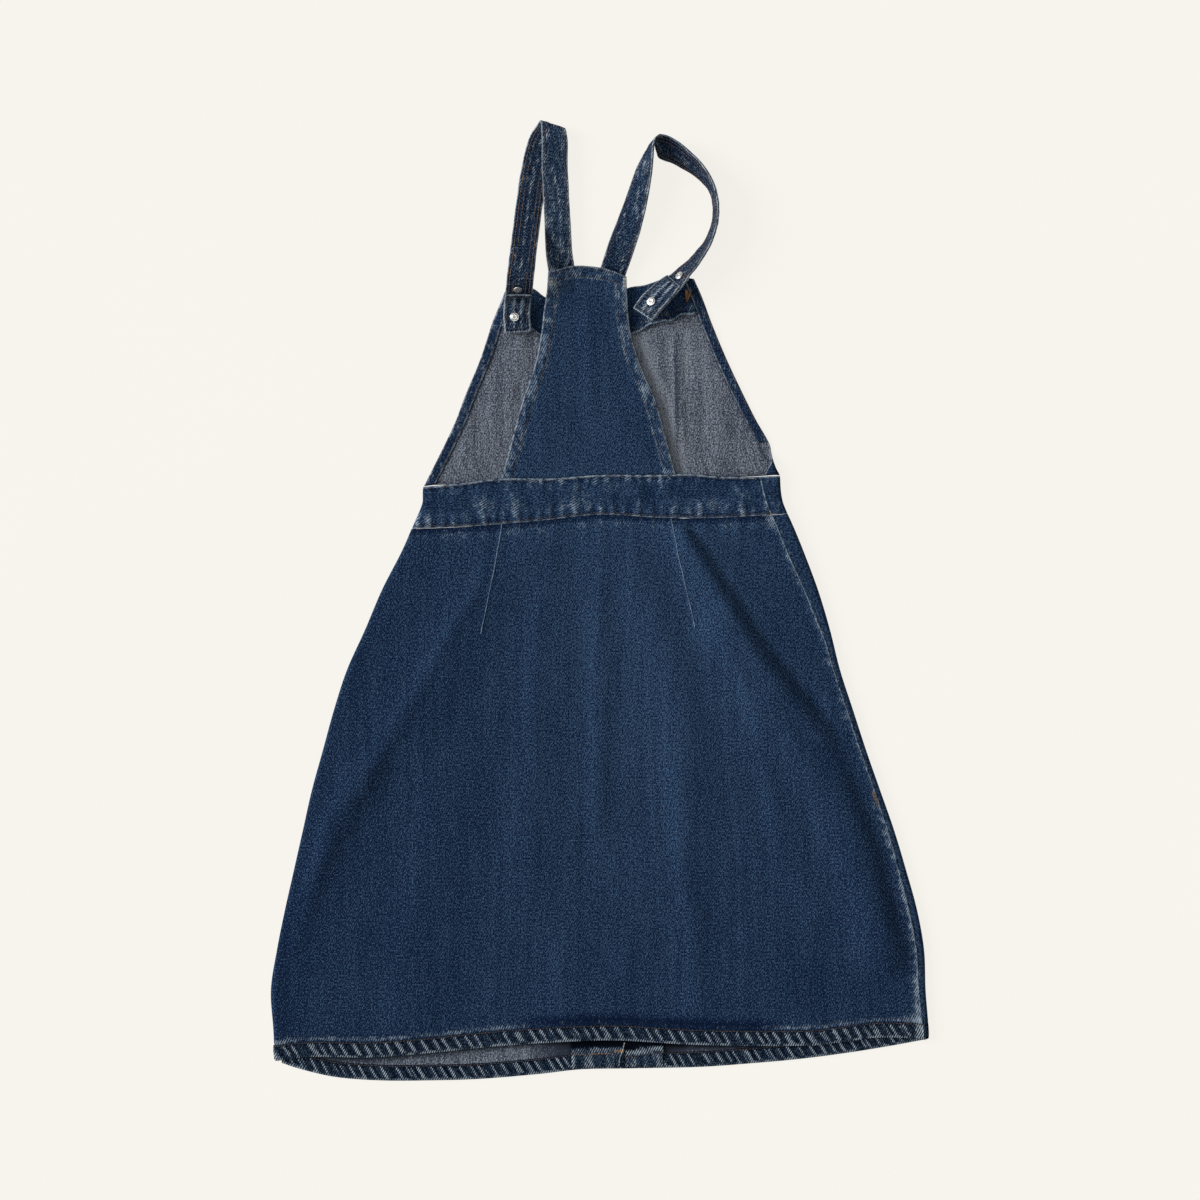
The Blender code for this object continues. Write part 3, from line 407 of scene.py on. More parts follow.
def sheet_of(node, points, wall, wear, shade, line=NO_LINE, outward=True, crosswise=False,
             materials=None):
    """A sheet of cloth in place of a node: its outer face is the grid, and its wall lies behind."""
    faces = grid_faces(*points.shape[:2])
    if not outward:
        faces = faces[:, ::-1]
    uv = weave_uv(points)[..., ::-1] if crosswise else weave_uv(points)
    numbers = looks(points.shape[:2], np.clip(wear, 0, 1), shade, line)
    thing = add_mesh(node + "_cloth", points, faces.tolist(), materials or (OUTER, INNER), uv, numbers)
    solid = thing.modifiers.new("Thickness", "SOLIDIFY")
    solid.thickness = wall * MM
    solid.offset = -1.0
    solid.use_even_offset = False
    solid.material_offset = 1
    return put_on(thing, node)


def ring_mesh(name, rings, uv, wear, shade, line, material, inside_out=False, lowest=0.05):
    """A closed tube of cloth through rings of points, with its two ends filled."""
    count, ring, _ = rings.shape
    rings[..., 2] = np.maximum(rings[..., 2], lowest)
    faces = grid_faces(count, ring, closed=True)
    if inside_out:
        faces = faces[:, ::-1]
    ends = [list(range(ring)), [(count - 1) * ring + k for k in range(ring)][::-1]]
    numbers = looks(rings.shape[:2], wear, shade, line)
    return put_on(add_mesh(name, rings, faces.tolist() + ends, [material], uv, numbers))


def fixed(x_of, stations, line):
    """The y at which each station's path crosses a line across the cloth."""
    y = np.full(stations.shape[1], float(line(0.0)))
    for _ in range(6):
        y = line(x_of(stations, y))
    return y


def columns_between(x_of, top, bottom, stations, shares):
    """The y of each row and column between two lines across the cloth."""
    shares = np.asarray(shares)[:, None]
    return lerp(fixed(x_of, stations, top), fixed(x_of, stations, bottom), shares)


# A station is a place across the tube of cloth: its kind and a number. UNDER lies on the
# ground, ARC goes round a side fold, TOP and SEAM are on the back, OVER is the front on the back.
UNDER, ARC, TOP, SEAM, OVER = range(5)
SEAM_STRIP = 8.5  # the columns crowd together this close to the side seam
ARC_STATIONS = [(ARC, math.pi * k / 10) for k in range(1, 10)]


def even_stations(kind, columns):
    return [(kind, k / columns) for k in range(columns + 1)]


def back_stations(columns, seam):
    stations = [(UNDER, 1.0), (UNDER, 0.5), (UNDER, 0.0)] + ARC_STATIONS
    return np.array(stations + even_stations(TOP, columns)[:-1] + [(SEAM, d) for d in seam[::-1]]).T


def front_stations(columns, over):
    return np.array(even_stations(UNDER, columns) + ARC_STATIONS + even_stations(OVER, over)).T


def round_fold(stations, x, y, top, way):
    """Points and outward directions of the tube, which folds to the left or right by way."""
    kind, value = stations
    under, arc, radius = kind == UNDER, kind == ARC, fold_radius(y)
    turn = np.where(arc, value, 0.0)
    z = np.select([under, arc], [0.0 * y, radius - radius * np.cos(turn)], top)
    across = 0.0 * y + way * np.sin(turn)
    up = 0.0 * y + np.select([under, arc], [-1.0 + 0 * turn, -np.cos(turn)], 1.0)
    return np.stack([x, y, z], -1), np.stack([across, 0.0 * y, up], -1)


def back_x(stations, y):
    kind, value = stations
    radius = fold_radius(y)
    start, end = left_at(y) + radius, seam_at(y)
    return np.select(
        [kind == UNDER, kind == ARC, kind == TOP],
        [start + UNDER_LEFT * value, start - radius * np.sin(value), lerp(start, end - SEAM_STRIP, value)],
        end - value)


def back_place(stations, y):
    x = back_x(stations, y)
    return round_fold(stations, x, y, back_height(x, y), -1)


def front_rules(inner):
    """Rules for the x, and for the points and directions, of a front that starts at inner."""
    def x_of(stations, y):
        kind, value = stations
        radius = fold_radius(y)
        tangent = right_at(y) - radius
        return np.select(
            [kind == UNDER, kind == ARC],
            [lerp(inner(y), tangent, value), tangent + radius * np.sin(value)],
            lerp(tangent, seam_at(y) + GAP, value))

    def place(stations, y):
        x = x_of(stations, y)
        return round_fold(stations, x, y, 2 * fold_radius(y) + 0.15 * noise(x, y, 9, 21), 1)
    return x_of, place


def left_inner(y):
    """Where the front's pieces start, clear of the back that folds under at the left."""
    return left_at(y) + fold_radius(y) + UNDER_LEFT + GAP


def edge_places(x_of, place, stations, line):
    """A rule for the points and directions at a distance above a hem's edge."""
    edge = fixed(x_of, stations, line)

    def at(distance):
        points, out = place(stations, edge[None, :] + distance)
        return points[0], out[0]
    return at


# ----------------------------------------------------------------- materials

def linear(r, g, b):
    """An sRGB colour of 0 to 255 as linear numbers."""
    return tuple(c / 12.92 if c <= 0.04045 else ((c + 0.055) / 1.055) ** 2.4
                 for c in (r / 255, g / 255, b / 255)) + (1.0,)


class Net:
    """A material's node tree, built by calls that return sockets."""

    def __init__(self, name):
        self.material = bpy.data.materials.new(name)
        self.material.use_nodes = True
        self.tree = self.material.node_tree
        self.shader = self.tree.nodes["Principled BSDF"]

    def add(self, kind, **settings):
        node = self.tree.nodes.new("ShaderNode" + kind)
        for key, value in settings.items():
            setattr(node, key, value)
        return node

    def put(self, socket, value):
        if isinstance(value, bpy.types.NodeSocket):
            self.tree.links.new(value, socket)
        else:
            socket.default_value = value

    def shade(self, **values):
        for name, value in values.items():
            self.put(self.shader.inputs[name.replace("_", " ")], value)

    def math(self, operation, a, b=0.0, c=0.0, clamp=False):
        node = self.add("Math", operation=operation, use_clamp=clamp)
        for socket, value in zip(node.inputs, (a, b, c)):
            self.put(socket, value)
        return node.outputs[0]

    def total(self, first, *others):
        for other in others:
            first = self.math("ADD", first, other)
        return first

    def mix(self, factor, a, b):
        node = self.add("Mix", data_type="RGBA")
        node.clamp_factor = True
        for place, value in (("Factor", factor), (6, a), (7, b)):
            self.put(node.inputs[place], value)
        return node.outputs[2]

    def step(self, low, high, value):
        node = self.add("MapRange", interpolation_type="SMOOTHSTEP")
        for place, given in enumerate((value, low, high)):
            self.put(node.inputs[place], given)
        return node.outputs[0]

    def number(self, name):
        return self.add("Attribute", attribute_name=name).outputs["Fac"]

    def scaled(self, vector, x, y, turn=0.0):
        node = self.add("Mapping", vector_type="TEXTURE")
        self.put(node.inputs["Vector"], vector)
        node.inputs["Scale"].default_value = (x, y, x)
        node.inputs["Rotation"].default_value = (0, 0, turn)
        return node.outputs[0]

    def noise(self, vector, detail=2.0, roughness=0.55):
        node = self.add("TexNoise")
        for name, value in (("Vector", vector), ("Scale", 1.0), ("Detail", detail), ("Roughness", roughness)):
            self.put(node.inputs[name], value)
        return node.outputs[0]

    def bump(self, height, distance, strength=1.0):
        node = self.add("Bump")
        for name, value in (("Distance", distance), ("Strength", strength), ("Height", height)):
            self.put(node.inputs[name], value)
        self.shade(Normal=node.outputs[0])


def denim(name, dark, light, pale, grain=1.0, streak=1.0, twill=1.0, rubs=(2.6, 5.5, 0.0)):
    """Twill cloth. wear, shade and line come from the mesh: wear bares the pale core, shade darkens the colour
    (painted shade and painted shadow in many places, a darker tone of the cloth in others, and painted light
    where it is below 0), and line is the distance in mm to a rubbed seam. rubs is the width, length and turn of
    the rubbed spots."""
    net = Net(name)
    uv = net.add("UVMap", uv_map="cloth").outputs[0]
    fine = net.noise(net.scaled(uv, 1.5, 1.8), 2.0, 0.7)
    slub = net.noise(net.scaled(uv, 1.2, 18.0), 2.0, 0.6)
    broad = net.noise(net.scaled(uv, 8.0, 150.0), 2.0, 0.5)
    patch = net.noise(net.scaled(uv, 42.0, 60.0), 2.0, 0.5)
    diagonal = net.add("Mapping")
    net.put(diagonal.inputs["Vector"], uv)
    diagonal.inputs["Rotation"].default_value = (0, 0, math.radians(30))
    wave = net.add("TexWave", wave_type="BANDS", bands_direction="X")
    for key, value in (("Vector", diagonal.outputs[0]), ("Scale", 0.314 / 2.1), ("Distortion", 1.2),
                       ("Detail", 2.0), ("Detail Scale", 0.9)):
        net.put(wave.inputs[key], value)
    ridge = wave.outputs["Fac"]

    def part(value, weight):
        return net.math("MULTIPLY_ADD", value, weight, -0.5 * weight)

    tone = net.total(part(fine, 4.4 * grain), part(slub, 0.5 * streak), part(broad, 0.24 * streak),
                     part(patch, 0.16), part(ridge, 0.26 * twill), 0.27)
    wear, shade = net.number("wear"), net.number("shade")
    tone = net.math("MULTIPLY_ADD", wear, 0.3, tone)
    tone = net.math("SUBTRACT", tone, shade, clamp=True)
    colour = net.mix(tone, dark, light)
    # shade past 0.5 paints near-black shade, for gaps and deep creases
    painted_gap_shade = net.math("MULTIPLY", net.step(0.5, 1.2, shade), 0.9)
    colour = net.mix(painted_gap_shade, colour, (0.001, 0.0015, 0.003, 1.0))
    rub = net.noise(net.scaled(uv, *rubs), 3.0, 0.65)
    broken = net.math("ADD", part(fine, 1.0), part(ridge, 0.7 * twill))
    worn = net.math("MULTIPLY", broken, net.math("MULTIPLY", wear, 2.0, clamp=True))
    bare = net.total(net.math("MULTIPLY_ADD", rub, 2.2, -1.1), worn, wear)
    bare = net.math("MULTIPLY", net.step(0.3, 1.2, bare), 0.8)
    line = net.math("ABSOLUTE", net.number("line"))
    rubbed = net.math("SUBTRACT", 1.0, net.step(0.25, 1.25, line))
    rubbed = net.math("MULTIPLY", rubbed, net.step(0.34, 0.66, rub))
    bare = net.math("MAXIMUM", bare, net.math("MULTIPLY", rubbed, 0.8))
    net.shade(Base_Color=net.mix(bare, colour, pale), Roughness=0.92, Specular_IOR_Level=0.03)
    net.bump(net.math("ADD", part(fine, 0.7), part(ridge, 0.5)), 0.0005, 0.6)
    return net.material


def thread(name, colour, other):
    net = Net(name)
    position = net.add("TexCoord").outputs["Object"]
    spots = net.noise(net.scaled(position, 0.006, 0.006), 2.0, 0.6)
    net.shade(Base_Color=net.mix(net.step(0.35, 0.65, spots), colour, other), Roughness=0.7)
    net.bump(net.noise(net.scaled(position, 0.0003, 0.0003), 1.0), 0.0001, 0.5)
    return net.material


def metal(name, colour, dull):
    net = Net(name)
    position = net.add("TexCoord").outputs["Object"]
    spots = net.noise(net.scaled(position, 0.0012, 0.0012), 3.0, 0.6)
    net.shade(Base_Color=net.mix(net.step(0.35, 0.75, spots), colour, dull), Metallic=1.0,
              Roughness=net.math("MULTIPLY_ADD", spots, 0.3, 0.22))
    return net.material


OUTER = denim("denim_outer", linear(8, 22, 46), linear(60, 84, 112), linear(140, 154, 166), 1.0, 1.5)
HEM_CLOTH = denim("denim_hem", linear(6, 14, 28), linear(62, 82, 104), linear(160, 172, 182), 1.0, 0.6, 2.4,
                  (2.4, 12.0, math.radians(32)))
STRAP_CLOTH = denim("denim_strap", linear(8, 20, 40), linear(70, 90, 112), linear(152, 162, 168), 1.1, 1.2, 1.0,
                    (1.7, 9.0, 0.0))
INNER = denim("denim_inner", linear(48, 54, 66), linear(140, 147, 158), linear(150, 155, 162), 0.8, 2.4, 0.5)
GOLD = thread("thread_gold", linear(166, 114, 54), linear(96, 74, 52))
TAN = thread("thread_tan", linear(120, 92, 62), linear(66, 58, 54))
BROWN = thread("thread_brown", linear(78, 62, 54), linear(38, 38, 46))
PALE = thread("thread_pale", linear(182, 178, 164), linear(112, 118, 124))
RIDGE = thread("thread_ridge", linear(112, 132, 152), linear(66, 88, 112))
STEEL = metal("tack_metal", linear(214, 214, 212), linear(150, 150, 150))


# ------------------------------------------------------------------ stitches

def capsule():
    """One stitch, lying along x from -0.5 to 0.5, with a round section of radius 0.5."""
    rings = [(-0.5, 0.25), (-0.42, 0.72), (-0.2, 1.0), (0.2, 1.0), (0.42, 0.72), (0.5, 0.25)]
    sides = 6
    points = [(x, 0.5 * r * math.cos(2 * math.pi * k / sides), 0.5 * r * math.sin(2 * math.pi * k / sides))
              for x, r in rings for k in range(sides)]
    faces = []
    for i in range(len(rings) - 1):
        for k in range(sides):
            a, b = i * sides + k, i * sides + (k + 1) % sides
            faces.append((a, b, b + sides, a + sides))
    last = (len(rings) - 1) * sides
    return np.array(points), faces + [tuple(range(sides))[::-1], tuple(range(last, last + sides))]


CAPSULE = capsule()
STITCH_LIFT, STITCH_FLATNESS = 0.1, 0.7


def stitches(name, lines, material, pitch, length, width):
    """Rows of stitches along lines of points, each with the directions that face out of the cloth."""
    template, template_faces = CAPSULE
    points, faces, count = [], [], 0
    for path, outward in lines:
        along = run_of(path)
        number = max(int(along[-1] / pitch), 1)
        at = along[-1] * (np.arange(number) + 0.5) / number
        a, b = sampled(at - length / 2, along, path), sampled(at + length / 2, along, path)
        out = sampled(at, along, outward)
        size = np.linalg.norm(b - a, axis=1)[:, None]
        x_axis = (b - a) / size
        z_axis = unit(out - x_axis * (out * x_axis).sum(1)[:, None])
        y_axis = np.cross(z_axis, x_axis)
        centre = (a + b) / 2 + z_axis * STITCH_LIFT
        local = (template[None, :, 0:1] * (size * x_axis)[:, None, :]
                 + template[None, :, 1:2] * width * y_axis[:, None, :]
                 + template[None, :, 2:3] * width * STITCH_FLATNESS * z_axis[:, None, :])
        points.append((centre[:, None, :] + local).reshape(-1, 3))
        for _ in range(number):
            faces += [tuple(i + count for i in face) for face in template_faces]
            count += len(template)
    put_on(add_mesh(name, np.concatenate(points), faces, [material]))


def steps(start, stop):
    return np.arange(start, stop, 2.0 if stop > start else -2.0)


def flat_line(x, y, z):
    """A line at x and y in plan, at heights z, which is a number or a rule of x and y."""
    x, y = np.broadcast_arrays(np.asarray(x, float), np.asarray(y, float))
    height = z(x, y) if callable(z) else z
    return np.column_stack([x, y, height + 0 * x]), np.tile((0.0, 0.0, 1.0), (len(x), 1))


# --------------------------------------------------------------------- skirt

HEM_ROWS = np.array([0.0, 0.8, 2.0, 3.4, 5.0, 6.8, 8.6, 10.4, 12.0, 13.4, 14.4, 15.0])
ROUND_ROWS = 4


def roping(along, depth, seed):
    """The hem's slanting ridges, from -1.2 to 1.2, at a place along the hem and above its edge."""
    place = along + 0.6 * depth
    fade = ease(0, 3.5, depth) * (1 - ease(HEM - 3.5, HEM, depth))
    return (0.78 * ripples(place, 10.8, seed) + 0.42 * ripples(place, 5.1, seed + 3)) * fade


def hem_band(name, places_at, outer, inner, rope_side, seed, corner_at=999.0):
    """The turned hem, a flat roll of cloth with a round edge and slanting ridges.

    places_at gives points and outward directions at a distance above the hem's edge, and outer
    and inner are its faces' heights off those. Past the x of corner_at it is rubbed at a corner.
    """
    base, normals = places_at(0.0)
    along = run_of(base)
    middle, half = (outer + inner) / 2, (outer - inner) / 2
    uneven = noise(along, 0 * along, 7, seed + 7)
    columns = []

    def add(points, wear, shade, up):
        columns.append((points, np.clip(wear, 0, 1), np.clip(shade, -1, 1), np.stack([along, 0 * along + up], -1)))

    for side in (1, -1):
        for distance in HEM_ROWS[::-side]:
            place, out = places_at(distance)
            rope = roping(along, distance, seed) if side == rope_side else 0 * along
            swell = math.sin(math.pi * distance / HEM) ** 0.5 * 0.35 if distance < HEM else 0.0
            height = middle + side * (half * (0.35 + 0.65 * min(1, distance / 1.6)) + swell * 0.6 + 0.42 * rope)
            edge, seam = bell(distance, 1.7), bell(distance - HEM + 1.6, 1.3)
            wear = (0.85 * ease(0.02, 0.9, rope) + 0.5 * edge * (0.8 + 0.9 * uneven)
                    + 0.5 * ease(corner_at, corner_at + 9, place[..., 0]))
            add(place + out * height[..., None], wear, 0.16 - 0.5 * np.minimum(rope, 0) + 0.4 * seam - 0.1 * edge,
                side * rope_side * distance)
        if side == 1:
            for k in range(1, ROUND_ROWS):
                turn = math.pi * k / ROUND_ROWS
                points = base + normals * (middle + half * 0.35 * math.cos(turn))
                points[:, 1] -= half * 0.35 * math.sin(turn) * 1.6
                add(points, 0.42 + 0.4 * uneven, 0 * along, 0.0)
    points, wear, shade, uv = (np.stack(rows, 1) for rows in zip(*columns))
    return ring_mesh(name, points, uv, wear, shade, NO_LINE, HEM_CLOTH, inside_out=True, lowest=0.02)


def painted_light_falloff(x, y):
    """Painted light: the skirt is darker towards its lower corners than at its upper middle, where a broad pool of
    light is painted.
    """
    return 0.12 - 0.2 * spot(x, y, 50, 0, 165, 400)


def build_skirt_back():
    stations = back_stations(176, (0.0, 0.5, 1.1, 1.8, 2.8, 4.2, 6.2))
    ys = columns_between(back_x, lambda x: waist_seam(x) - HALF_GAP, back_hem, stations, np.linspace(0, 1, 152))
    points, normals = back_place(stations, ys)
    x, y = points[..., 0], points[..., 1]
    top = (stations[0] >= TOP)[None, :]
    from_seam = np.where(top, seam_at(y) - x, FAR)
    above_hem = y - back_hem(x)
    below_waist = waist_seam(x) - y
    felled = (0.9 + 0.4 * noise(0 * x, y, 11, 37)) * bell(from_seam - 1.2, 1.5)
    ticks = np.sin(y / 2.1 + 1.5 * noise(x, y, 30, 31))
    darts = dart_wear = 0
    for dart in DARTS:
        distance, along = to_line(dart, x, y)
        groove = 0.35 * bell(distance, 1.9) - 0.35 * bell(distance + 3.0, 2.0)
        darts = darts + top * (1 - ease(90, 116, along)) * groove
        dart_wear = dart_wear + 0.1 * bell(distance, 3.5) * (1 - ease(20, 105, along))
    points[..., 2] += top * (felled + 0.42 * ticks * bell(from_seam - 4, 4.5)) + darts
    points += normals * (-0.4 * ease(HEM + 1, HEM - 2, above_hem))[..., None]
    middle = ease(-90, -50, x) * ease(190, 150, x)
    seam_rub = bell(np.maximum(from_seam, 0), 7.5)
    blotch = noise(x, y, (9, 16), 38)
    wear = (0.1 * bell(above_hem - HEM - 6, 8.0) + dart_wear + 0.05 * noise(x, y, 45, 33)
            + 0.42 * bell(above_hem - HEM - 2, 3.0) * (1 - 0.75 * middle) * (1 + 0.5 * blotch)
            + (0.24 + 0.32 * blotch + 0.2 * ticks + 0.28 * ease(-40, -260, y)) * seam_rub
            + (0.2 + 0.2 * blotch) * bell(below_waist - 8, 6.0) + 0.3 * spot(x, y, 317, -424, 9, 12))
    # shade: painted shadow under the waist seam, painted shade in a strip above the hem (strongest in the middle),
    # painted shade on folds' dark flanks (the spot near 217, -387 and the strip by the lower left fold) and the
    # painted falloff of light; besides these a dark line at the hem's top, a dark line 9 mm in from the side seam
    # and uneven tone
    shade = (0.6 * bell(below_waist - 1.2, 3.0) + 0.2 * bell(above_hem - HEM + 0.3, 1.4)
             + (0.08 + 0.55 * middle) * bell(above_hem - HEM - 5.0, 5.0)
             + 0.08 * spot(x, y, 217, -387, 30, 24)
             + 0.12 * bell(x - left_at(y) - 12, 14) * ease(-260, -310, y)
             + 0.2 * bell(from_seam - 9.0, 2.2) * ease(-240, -60, y)
             + 0.02 * noise(x, y, 60, 34) + painted_light_falloff(x, y))
    line = nearest(NO_LINE, np.where(top, from_seam - 0.8 + 0.45 * noise(0 * x, y, 4, 39), NO_LINE))
    cloth = sheet_of("skirt_back", points, CLOTH, wear, shade, line)
    at = edge_places(back_x, back_place, back_stations(400, (0.0, 1.4, 2.8, 4.2, 5.6, 7.0)), back_hem)
    hem = hem_band("hem_back", at, 0.75, -1.9, 1, 41, 311.0)
    return at


def painted_shadow_under_back_hem(x, y):
    """Painted shadow: how much darker the front's inner face is made, close under the back's hem."""
    below = back_hem(x) - y
    close = ease(-30, -2, below) * bell(np.maximum(below, 0), 4.0)
    ends = 0.5 * ease(-170, -240, x) + 0.5 * ease(40, 90, x)
    middle = 0.9 * np.exp(-(np.abs(x - 12) / 68) ** 6) + 0.22 * ease(40, 90, x)
    return (0.45 + ends) * close + middle * ease(-30, -2, below) + 0.16 * noise(x, y, (4, 8), 40)


def front_panel(side, x_of, place, coarse, fine, cloth_seed, hem_seed):
    ys = columns_between(x_of, lambda x: front_waist_seam(x) - HALF_GAP, front_hem, coarse,
                         np.linspace(0, 1, 112))
    points, _ = place(coarse, ys)
    x, y = points[..., 0], points[..., 1]
    over = (coarse[0] == OVER)[None, :]
    from_seam = np.where(over, x - seam_at(y), FAR)
    points[..., 2] += 0.25 * bell(from_seam - 0.5, 1.2)
    # shade: painted shadow of the back's lapped edge beside the side seam, and painted shadow under the back's
    # hem; uneven tone besides
    shade = (0.16 * bell(np.maximum(from_seam - 0.4, 0), 1.6) * over + 0.03 * noise(x, y, 50, cloth_seed)
             + (1 - over) * painted_shadow_under_back_hem(x, y))
    wear = 0.14 * bell(y - front_hem(x), 20) + 0.3 * bell(from_seam, 3.0)
    cloth = sheet_of("skirt_front_" + side, points, CLOTH, wear, shade, outward=False)
    at = edge_places(x_of, place, fine, front_hem)
    hem = hem_band("hem_front_" + side, at, 0.0, -2.9, -1, hem_seed)


def build_skirt_front():
    right_x, right_place = front_rules(lambda y: centre_front(y) + HALF_GAP)
    front_panel("right", right_x, right_place, front_stations(60, 8), front_stations(205, 5), 35, 43)

    def left_x(stations, y):
        return lerp(left_inner(y), centre_front(y) - HALF_GAP, stations[1])

    def left_place(stations, y):
        return np.stack([left_x(stations, y), y, 0.0 * y], -1), np.tile((0.0, 0.0, -1.0), y.shape + (1,))

    front_panel("left", left_x, left_place, np.array(even_stations(UNDER, 70)).T,
                np.array(even_stations(UNDER, 215)).T, 36, 47)


def build_front_facings():
    """The centre front's two facings, each rolled over the hem's upper edge."""
    columns, rows = 24, 150
    for side, (near, far) in FRONT_FACINGS.items():
        points = np.zeros((rows, columns, 3))
        for k, offset in enumerate(lerp(near, far, np.linspace(0, 1, columns))):
            top, bottom = 78.0, -470.0
            for _ in range(5):
                top = float(front_waist_seam(centre_front(top) + offset)) - GAP
                bottom = float(front_hem(centre_front(bottom) + offset)) + 0.6
            y = np.linspace(top, bottom, rows)
            points[:, k, 0] = centre_front(y) + offset
            points[:, k, 1] = y
        x, y = points[..., 0], points[..., 1]
        above_hem = y - front_hem(x)
        from_edge = np.minimum(x - centre_front(y) - near, centre_front(y) + far - x)
        roll, depth = (17.2, 2.0) if side == "left" else (lerp(14.5, 19.0, (x - 26) / 38), 2.6)
        above_roll = above_hem - roll
        lift = 1.55 * (1 - ease(-2, 5, above_roll))
        points[..., 2] = CLOTH + GAP + FACING + lift + 0.25 * noise(x, y, 14, 51)
        low = 1 - ease(-4.5, -2.5, above_roll)
        streaks = noise(x, y, (3.2, 26), 52) + 0.5 * noise(x, y, (1.6, 14), 53)
        wear = (0.62 * bell(above_roll, depth) * (1 + 0.35 * noise(x, y, 14, 54)) + low * (0.08 + 0.42 * streaks)
                + 0.3 * low * bell(from_edge, 1.4) + 0.3 * bell(above_hem, 1.2))
        # shade: painted shadow on the facing above its roll, under the back's hem, which turns near black; besides
        # a dark line at the stitches, darker streaks low down and dark edges
        shade = (1.0 * ease(1.0, 4.0, above_roll) + 0.5 * bell(above_roll + 3.2, 0.9)
                 - 0.35 * low * np.minimum(streaks, 0) + 0.5 * bell(from_edge, 0.7))
        cloth = sheet_of("front_facing_" + side, points, FACING, wear, shade, materials=(HEM_CLOTH, INNER))


# ----------------------------------------------------------------- waistband

BAND_SINK = 0.35  # how far the padded band is let down, so that it doesn't stand too high


def band_relief(x, y, top, seam):
    """Puckers and padding of the waistband, as a height, how rubbed they are, and how far up the band each point
    lies. Below 0 the rubbed number paints shade in the creases between the puckers, and a darker tone elsewhere.
    """
    up = (y - seam) / (top - seam)
    pad = 0.75 * np.sqrt(np.clip(4 * up * (1 - up), 0, 1))
    near_seam, near_top = bell(up - 0.1, 0.22), bell(up - 0.95, 0.16)
    wave = ripples(x + 3 * up, 12.5, 61)
    wave_top = ripples(x - 4 * up, 10.5, 67)
    slow = ripples(x + 9 * up, 31.0, 64)
    relief = pad + 0.7 * wave * near_seam + 0.5 * wave_top * near_top + 0.8 * slow * 4 * up * (1 - up)
    blotch = noise(x, y, (5, 8), 69) + 0.6 * noise(x, y, (2.4, 4), 70)
    rubbed = (0.42 * wave * near_seam + 0.36 * wave_top * near_top + 0.14 * slow + 0.22 * blotch
              + 0.24 * noise(x, y, (30, 12), 66) + 0.14 * bell(up - 0.2, 0.2) - 0.08)
    return relief - BAND_SINK, rubbed, up


def build_waistband():
    stations = back_stations(200, (0.0, 0.8, 1.6, 2.6, 4.2, 6.2))
    ys = columns_between(back_x, waistband_top, lambda x: waist_seam(x) + HALF_GAP, stations,
                         np.linspace(0, 1, 34))
    points, normals = back_place(stations, ys)
    x, y = points[..., 0], points[..., 1]
    relief, rubbed, up = band_relief(x, y, waistband_top(x), waist_seam(x))
    top = (stations[0] >= TOP)[None, :]
    from_seam = np.where(top, seam_at(y) - x, FAR)
    relief = np.where(top, relief, 0.25 * (relief + BAND_SINK) - BAND_SINK)
    points += normals * relief[..., None] * np.where(points[..., 2:] < 0.6, 0, 1)
    edge = bell(up - 1, 0.03) + 1.1 * bell(up, 0.03)
    wear = 0.12 + rubbed + (0.4 + 0.3 * noise(x, y, 8, 68)) * edge + 0.4 * bell(from_seam, 3)
    # shade: dark lines near both seams of the band, and painted shade in the creases between the puckers where
    # rubbed is below 0
    shade = 0.22 * bell(up - 0.07, 0.03) + 0.24 * bell(up - 0.92, 0.025) - 0.45 * np.minimum(rubbed, 0)
    line = nearest((1 - up) * 40 - 0.9, up * 40 - 0.3, np.where(top, from_seam - 0.8, NO_LINE))
    cloth = sheet_of("waistband_back", points, BAND - 0.3, wear, shade, line, crosswise=True)

    stations = front_stations(120, 12)
    front_x, front_place = front_rules(left_inner)
    ys = columns_between(front_x, front_band_top, lambda x: front_waist_seam(x) + HALF_GAP, stations,
                         np.linspace(0, 1, 26))
    points, _ = front_place(stations, ys)
    x, y = points[..., 0], points[..., 1]
    relief, rubbed, up = band_relief(x, y, front_band_top(x), front_waist_seam(x))
    over = (stations[0] == OVER)[None, :]
    points[..., 2] += over * relief
    from_seam = np.where(over, x - seam_at(y), FAR)
    wear = 0.12 + rubbed + 0.6 * bell(up - 1, 0.035)
    # shade: painted shadow of the back's lapped edge beside the side seam, and painted shade in the creases
    # between the puckers where rubbed is below 0
    shade = 0.3 * bell(np.maximum(from_seam - 0.4, 0), 1.6) * over - 0.2 * np.minimum(rubbed, 0)
    line = nearest((1 - up) * 40 - 0.6, up * 40 - 0.3)
    cloth = sheet_of("waistband_front", points, BAND, wear, shade, line, outward=False, crosswise=True)


# ------------------------------------------------------------------ back bib

def back_bib_surface(x, y):
    relief = fold_sum(BACK_BIB_FOLDS, x, y) + 0.2 * noise(x, y, (20, 40), 71) + 0.08 * noise(x, y, 7, 72)
    return bib_height(y) + relief


def across_band(edge_steps, inset, columns):
    """Places across a band as a fixed distance and a share of its width, close at both edges."""
    edge_steps = np.asarray(edge_steps, float)
    t = np.linspace(0, 1, columns - 2 * len(edge_steps))
    fixed_part = np.concatenate([edge_steps, lerp(inset, -inset, t), -edge_steps[::-1]])
    share = np.concatenate([0 * edge_steps, t, 0 * edge_steps + 1])
    return np.stack([fixed_part, share])


